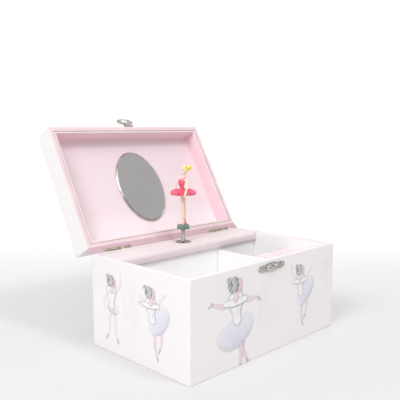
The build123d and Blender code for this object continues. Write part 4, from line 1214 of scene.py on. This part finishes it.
# ------------------------------------------------------------------ the dancer
FACING = radians(152.0)
toward = np.array([cos(FACING), sin(FACING), 0.0])
leftward = np.array([-sin(FACING), cos(FACING), 0.0])


def figure(points):
    """Dancer coordinates (forward, left, height) to the row frame."""
    points = np.asarray(points, float)
    return (np.array([0.0, figure_y, 0.0]) + points[:, :1] * toward + points[:, 1:2] * leftward
            + points[:, 2:] * np.array([0, 0, 1.0]))


def limb(name, points, radii, sides=16, flatten=1.0):
    """A smooth tapered limb in dancer coordinates."""
    path, widths = through(points, radii, 6, 0.02)
    return tube(name, figure(path), widths, sides, flatten)


def ball(name, centre, radii, rings=14, sides=24):
    """A smooth closed egg in dancer coordinates."""
    points = []
    for row in range(rings + 1):
        angle = pi * (row + 0.02) / (rings + 0.04)
        points += [(centre[0] + radii[0] * sin(angle) * cos(turn),
                    centre[1] + radii[1] * sin(angle) * sin(turn),
                    centre[2] + radii[2] * cos(angle)) for turn in ring(sides)]
    return mesh_piece(name, figure(points), quads(rings + 1, sides, True) + caps(rings + 1, sides))


def turn_head(pieces):
    """Turn the pieces of the face toward the dancer's left shoulder."""
    axis = figure([(-0.9, 0, 0)])[0]
    turn = radians(32)
    spin = np.array([[cos(turn), -sin(turn), 0], [sin(turn), cos(turn), 0], [0, 0, 1]])
    for piece in pieces:
        for vertex in piece.data.vertices:
            vertex.co = Vector((spin @ (np.array(vertex.co) / MM - axis) + axis) * MM)
    return pieces


def make_figure():
    """The dancer's legs, body, arms and head in one moulding."""
    base = DISC_TOP
    legs = [
        limb("leg", [(0.4, 0.8, base - 0.1), (0.3, 0.8, base + 1.4), (0.2, 0.8, base + 3.2),
                     (0.4, 0.9, base + 11), (0.1, 1.0, base + 19), (0.0, 1.1, base + 27)],
             [0.85, 1.25, 1.3, 1.75, 1.95, 2.1]),
        limb("leg", [(-1.3, -0.9, base + 3.0), (-1.1, -0.9, base + 11), (-0.5, -1.0, base + 19),
                     (0, -1.1, base + 27)], [1.15, 1.65, 1.95, 2.1]),
    ]
    torso = limb("torso", [(0.5, 0, 128.4), (0.3, 0, 130.6), (-0.6, 0, 132.4), (-1.2, 0, 133.4)],
                 [2.3, 2.5, 2.3, 1.2], 24, 0.95)
    neck = limb("neck", [(-1.0, 0, 131.8), (-1.6, 0, 134.2), (-1.5, 0, 136.8)], [1.5, 1.12, 1.2])
    arms = [
        limb("arm", [(-1.6, 2.0, 132.3), (-2.2, 4.3, 129.2), (-1.4, 7.9, 125.6), (0.4, 11.0, 122.2),
                     (1.9, 12.3, 118.9), (2.4, 12.2, 116.9)], [1.2, 1.25, 1.05, 0.95, 1.05, 0.55]),
        limb("arm", [(-0.4, -2.2, 132.2), (2.6, -3.6, 130.6), (4.7, -3.9, 127.6), (6.2, -3.6, 124.6),
                     (7.0, -3.2, 123.4)], [1.0, 0.8, 0.62, 0.5, 0.5]),
    ]
    head = turn_head([
        ball("head", (-0.9, 0, 139.9), (2.8, 2.5, 3.5)),
        ball("jaw", (0.1, 0, 138.0), (1.9, 1.7, 1.6), 10, 16),
        ball("nose", (1.85, 0, 139.5), (0.5, 0.34, 0.45), 8, 12),
    ])
    ears = turn_head([ball("ear", (-1.3, side * 2.45, 139.6), (0.6, 0.3, 0.8), 8, 12) for side in (-1, 1)])
    body = join("dancer_figure", legs + [torso, neck] + head + arms + ears)
    place(wear(body, "skin_plastic"), "dancer", "skin_plastic", "dancer_body")


def make_face():
    """Painted eyes, brows and lips, slightly raised."""
    eyes = [ball("eye", (1.3, side * 1.1, 140.3), (0.3, 0.46, 0.3), 8, 12) for side in (-1, 1)]
    brows = [limb("brow", [(1.35, side * 0.55, 141.25), (1.25, side * 1.2, 141.45),
                           (0.85, side * 1.75, 141.1)], [0.14, 0.18, 0.12], 8) for side in (-1, 1)]
    features = join("dancer_features", turn_head(eyes + brows))
    place(wear(features, "brown_paint"), "dancer", "skin_plastic")
    lips, = turn_head([ball("lips", (1.75, 0, 137.95), (0.3, 0.62, 0.26), 8, 12)])
    lips.name = "dancer_lips"
    place(wear(lips, "tutu_plastic"), "dancer", "pink_plastic")


def make_costume():
    """The bodice with its straps, and the shoe of the raised foot."""
    bodice = limb("dancer_bodice", [(0, 0, 121.0), (0.6, 0, 123.4), (0.9, 0, 125.2), (1.3, 0, 127.6),
                                    (1.4, 0, 130.0), (1.1, 0, 131.8)],
                  [2.9, 2.0, 1.9, 2.6, 3.15, 2.8], 28, 0.95)
    straps = [limb("strap", [(2.4, side * 1.6, 131.0), (1.0, side * 2.1, 132.9), (-1.2, side * 1.9, 133.3),
                             (-2.0, side * 1.5, 131.2)], [0.42, 0.36, 0.36, 0.42], 10) for side in (-1, 1)]
    bodice = join("dancer_bodice", [bodice] + straps)
    place(wear(bodice, "tutu_plastic"), "dancer", "pink_plastic")
    base = DISC_TOP
    shoes = join("dancer_shoes", [
        limb("shoe", [(-1.3, -0.7, base + 5.4), (-1.5, -0.2, base + 3.2), (-2.2, 0.6, base + 1.4),
                      (-2.4, 0.9, base - 0.1)], [1.12, 1.25, 1.1, 0.7]),
    ])
    place(wear(shoes, "tutu_plastic"), "dancer", "pink_plastic")


def make_hair():
    """Hair combed back from the brow into a bun with a short tail."""
    crown = ball("crown", (-1.25, 0, 140.5), (2.95, 2.85, 3.4), 20, 32)
    with editing(crown.data) as work:
        for vertex in work.verts:
            local = np.array(vertex.co) / MM - np.array([0.0, figure_y, 0.0])
            ahead, height = local @ toward, local[2]
            hairline = -2.0 + (height - 139.4) * 0.38
            if ahead > hairline:
                vertex.co -= Vector(toward * (ahead - hairline) * MM)
    strands = []
    for number in range(9):
        turn = (number - 4) / 4 * 1.15
        strands.append(limb("strand", [
            (0.6 * cos(turn) - 0.8, 2.5 * sin(turn), 142.6 + 0.4 * cos(turn * 2)),
            (-2.2, 2.2 * sin(turn), 143.5 + 0.4 * cos(turn)),
            (-3.6, 1.2 * sin(turn), 142.9),
        ], [0.34, 0.42, 0.38], 8))
    bun = ball("bun", (-4.9, 0, 143.0), (1.9, 2.0, 1.75))
    band = limb("band", [(-3.4, 0, 142.6), (-4.2, 0, 142.9)], [1.3, 1.4], 16)
    tail = limb("tail", [(-5.6, 0, 143.4), (-6.8, 0.2, 143.6), (-7.3, 0.2, 142.6), (-6.4, 0.1, 141.0),
                         (-4.9, 0, 139.2)], [1.25, 1.15, 1.1, 0.95, 0.3], 14)
    hair = join("dancer_hair", [crown, bun, band, tail] + strands)
    place(wear(hair, "hair_plastic"), "dancer", "hair_plastic", "dancer_hair")


def tutu_layer(radius, middle_z, thick, lobes, turn):
    """One scalloped frill: full at its edge, thin at the waist."""
    sides, rows, waist = 144, 13, 2.2
    points = []
    for face in (1, -1):
        for row in range(rows):
            share = row / (rows - 1)
            for angle in ring(sides):
                wave = cos(angle * lobes + turn)
                reach = radius * (1 - 0.05 * (1 - wave) / 2)
                distance = waist + (reach - waist) * share
                swell = thick * (0.35 + 0.65 * sin(share * pi * 0.94) ** 0.7)
                ruffle = (1.35 * wave + 0.3 if face > 0 else 0.2 * wave - 0.9) * share ** 1.4
                height = middle_z - 0.5 * share ** 2 + ruffle + face * swell * (1 - share ** 7)
                points.append((distance * cos(angle), distance * sin(angle), height))
    under = rows * sides
    faces = quads(rows, sides, True)
    faces += [[index + under for index in face] for face in faces]
    for start in (0, (rows - 1) * sides):
        for side in range(sides):
            here, after = start + side, start + (side + 1) % sides
            faces.append((here, after, under + after, under + here))
    return mesh_piece("layer", figure(points), faces)


def make_tutu():
    """Three frills, the widest one lowest."""
    low, high = box_mm("dancer_tutu")
    radius, middle_z = (high[0] - low[0]) / 2, (low[2] + high[2]) / 2
    layers = []
    for number, (share, lift, thick) in enumerate(((1.0, -0.4, 1.1), (0.93, 0.8, 0.8), (0.70, 1.8, 0.6))):
        layers.append(tutu_layer(radius * share, middle_z + lift, thick, 11 + 2 * number, number * 0.6))
    tutu = join("dancer_tutu_frills", layers)
    place(wear(tutu, "tutu_plastic"), "dancer", "pink_plastic", "dancer_tutu")


make_figure()
make_face()
make_costume()
make_hair()
make_tutu()


# ------------------------------------------------------------------ finishes on the CAD parts that stay
def wear_slots():
    """Give every CAD node still shown a procedural finish for its slot."""
    by_slot = {
        "board": "board", "white_lining": "white_paper", "pink_lining": "pink_paper", "steel": "steel",
        "brass": "brass", "cast_zinc": "cast_zinc", "nickel": "nickel", "hinge_brass": "hinge_brass",
    }
    for part in frame["record"]["subparts"]:
        node = frame["nodes"][part["node"]]
        material = by_slot.get(part["material_slot"])
        # The panel lining takes the paper with painted light and shade.
        if part["node"] == "lid_panel_lining":
            material = "panel_paper_painted_light"
        if material and not node.hide_render:
            for slot in node.material_slots:
                slot.material = MATERIALS[material]


wear_slots()


# ------------------------------------------------------------------ stage and light
def make_stage():
    """A pale floor that sweeps up into a pale backdrop, glowing more the further it is."""
    bend_start, radius, bend_steps = 0.9, 0.6, 12
    sweep = [(-1.2, 0.0)] + [(distance / 10, 0.0) for distance in range(-1, 10)]
    for step in range(1, bend_steps + 1):
        angle = step / bend_steps * pi / 2
        sweep.append((bend_start + radius * sin(angle), radius - radius * cos(angle)))
    sweep.append((bend_start + radius, 3.0))
    across = np.array([cos(CAMERA_AZIMUTH), sin(CAMERA_AZIMUTH)])
    ahead = -np.array(view_back[:2])
    ahead /= np.linalg.norm(ahead)
    points = []
    for distance, height in sweep:
        for side in (-3.0, 3.0):
            flat = across * side + ahead * distance
            points.append((flat[0] / MM, flat[1] / MM, (height - 0.0002) / MM))
    floor = mesh_piece("floor", points, quads(len(sweep), 2, False))
    made = Finish("floor", 0.75, Specular_IOR_Level=0.2, Emission_Color=(1.0, 0.995, 1.0, 1))
    tone = made.ramp(made.noise(3.0, 2.0), (0.3, (0.695, 0.690, 0.690)), (0.7, (0.715, 0.710, 0.710)))
    made.drive("Base Color", tone)
    made.drive("Emission Strength", made.attribute("glow", "Fac"))
    glow = floor.data.attributes.new("glow", "FLOAT", "POINT")
    far = np.clip([(distance + height + 0.05) / 0.8 for distance, height in sweep for _ in range(2)], 0, 1)
    glow.data.foreach_set("value", 0.52 * far * far * (3 - 2 * far))
    floor.data.materials.append(made.material)


def add_light(name, place_m, target_m, size, energy):
    """A square soft light aimed at a point."""
    data = bpy.data.lights.new(name, "AREA")
    data.size = size
    data.energy = energy
    lamp = bpy.data.objects.new(name, data)
    scene.collection.objects.link(lamp)
    lamp.location = place_m
    lamp.rotation_mode = "QUATERNION"
    lamp.rotation_quaternion = (Vector(target_m) - Vector(place_m)).to_track_quat("-Z", "Y")


make_stage()
world = bpy.data.worlds.new("studio")
world.use_nodes = True
world.node_tree.nodes["Background"].inputs["Color"].default_value = (0.98, 0.985, 1.0, 1)
world.node_tree.nodes["Background"].inputs["Strength"].default_value = 0.48
scene.world = world
scene.view_settings.view_transform = "Standard"
# Name, place and target in metres, width in metres, power in watts.
add_light("key", (-1.0, -0.2, 1.0), (0, 0, 0.08), 0.5, 7.6)
add_light("fill", (0.2, -0.9, 1.6), (0, 0, 0.08), 0.3, 5.4)
add_light("top", (-0.2, -0.1, 1.4), (0, 0, 0.05), 1.2, 1.3)
add_light("front", (-0.9, -0.8, 0.9), (0, 0, 0.08), 0.6, 3.6)
add_light("front_high", (-0.2, -0.7, 1.2), (0, 0, 0.08), 0.7, 1.5)
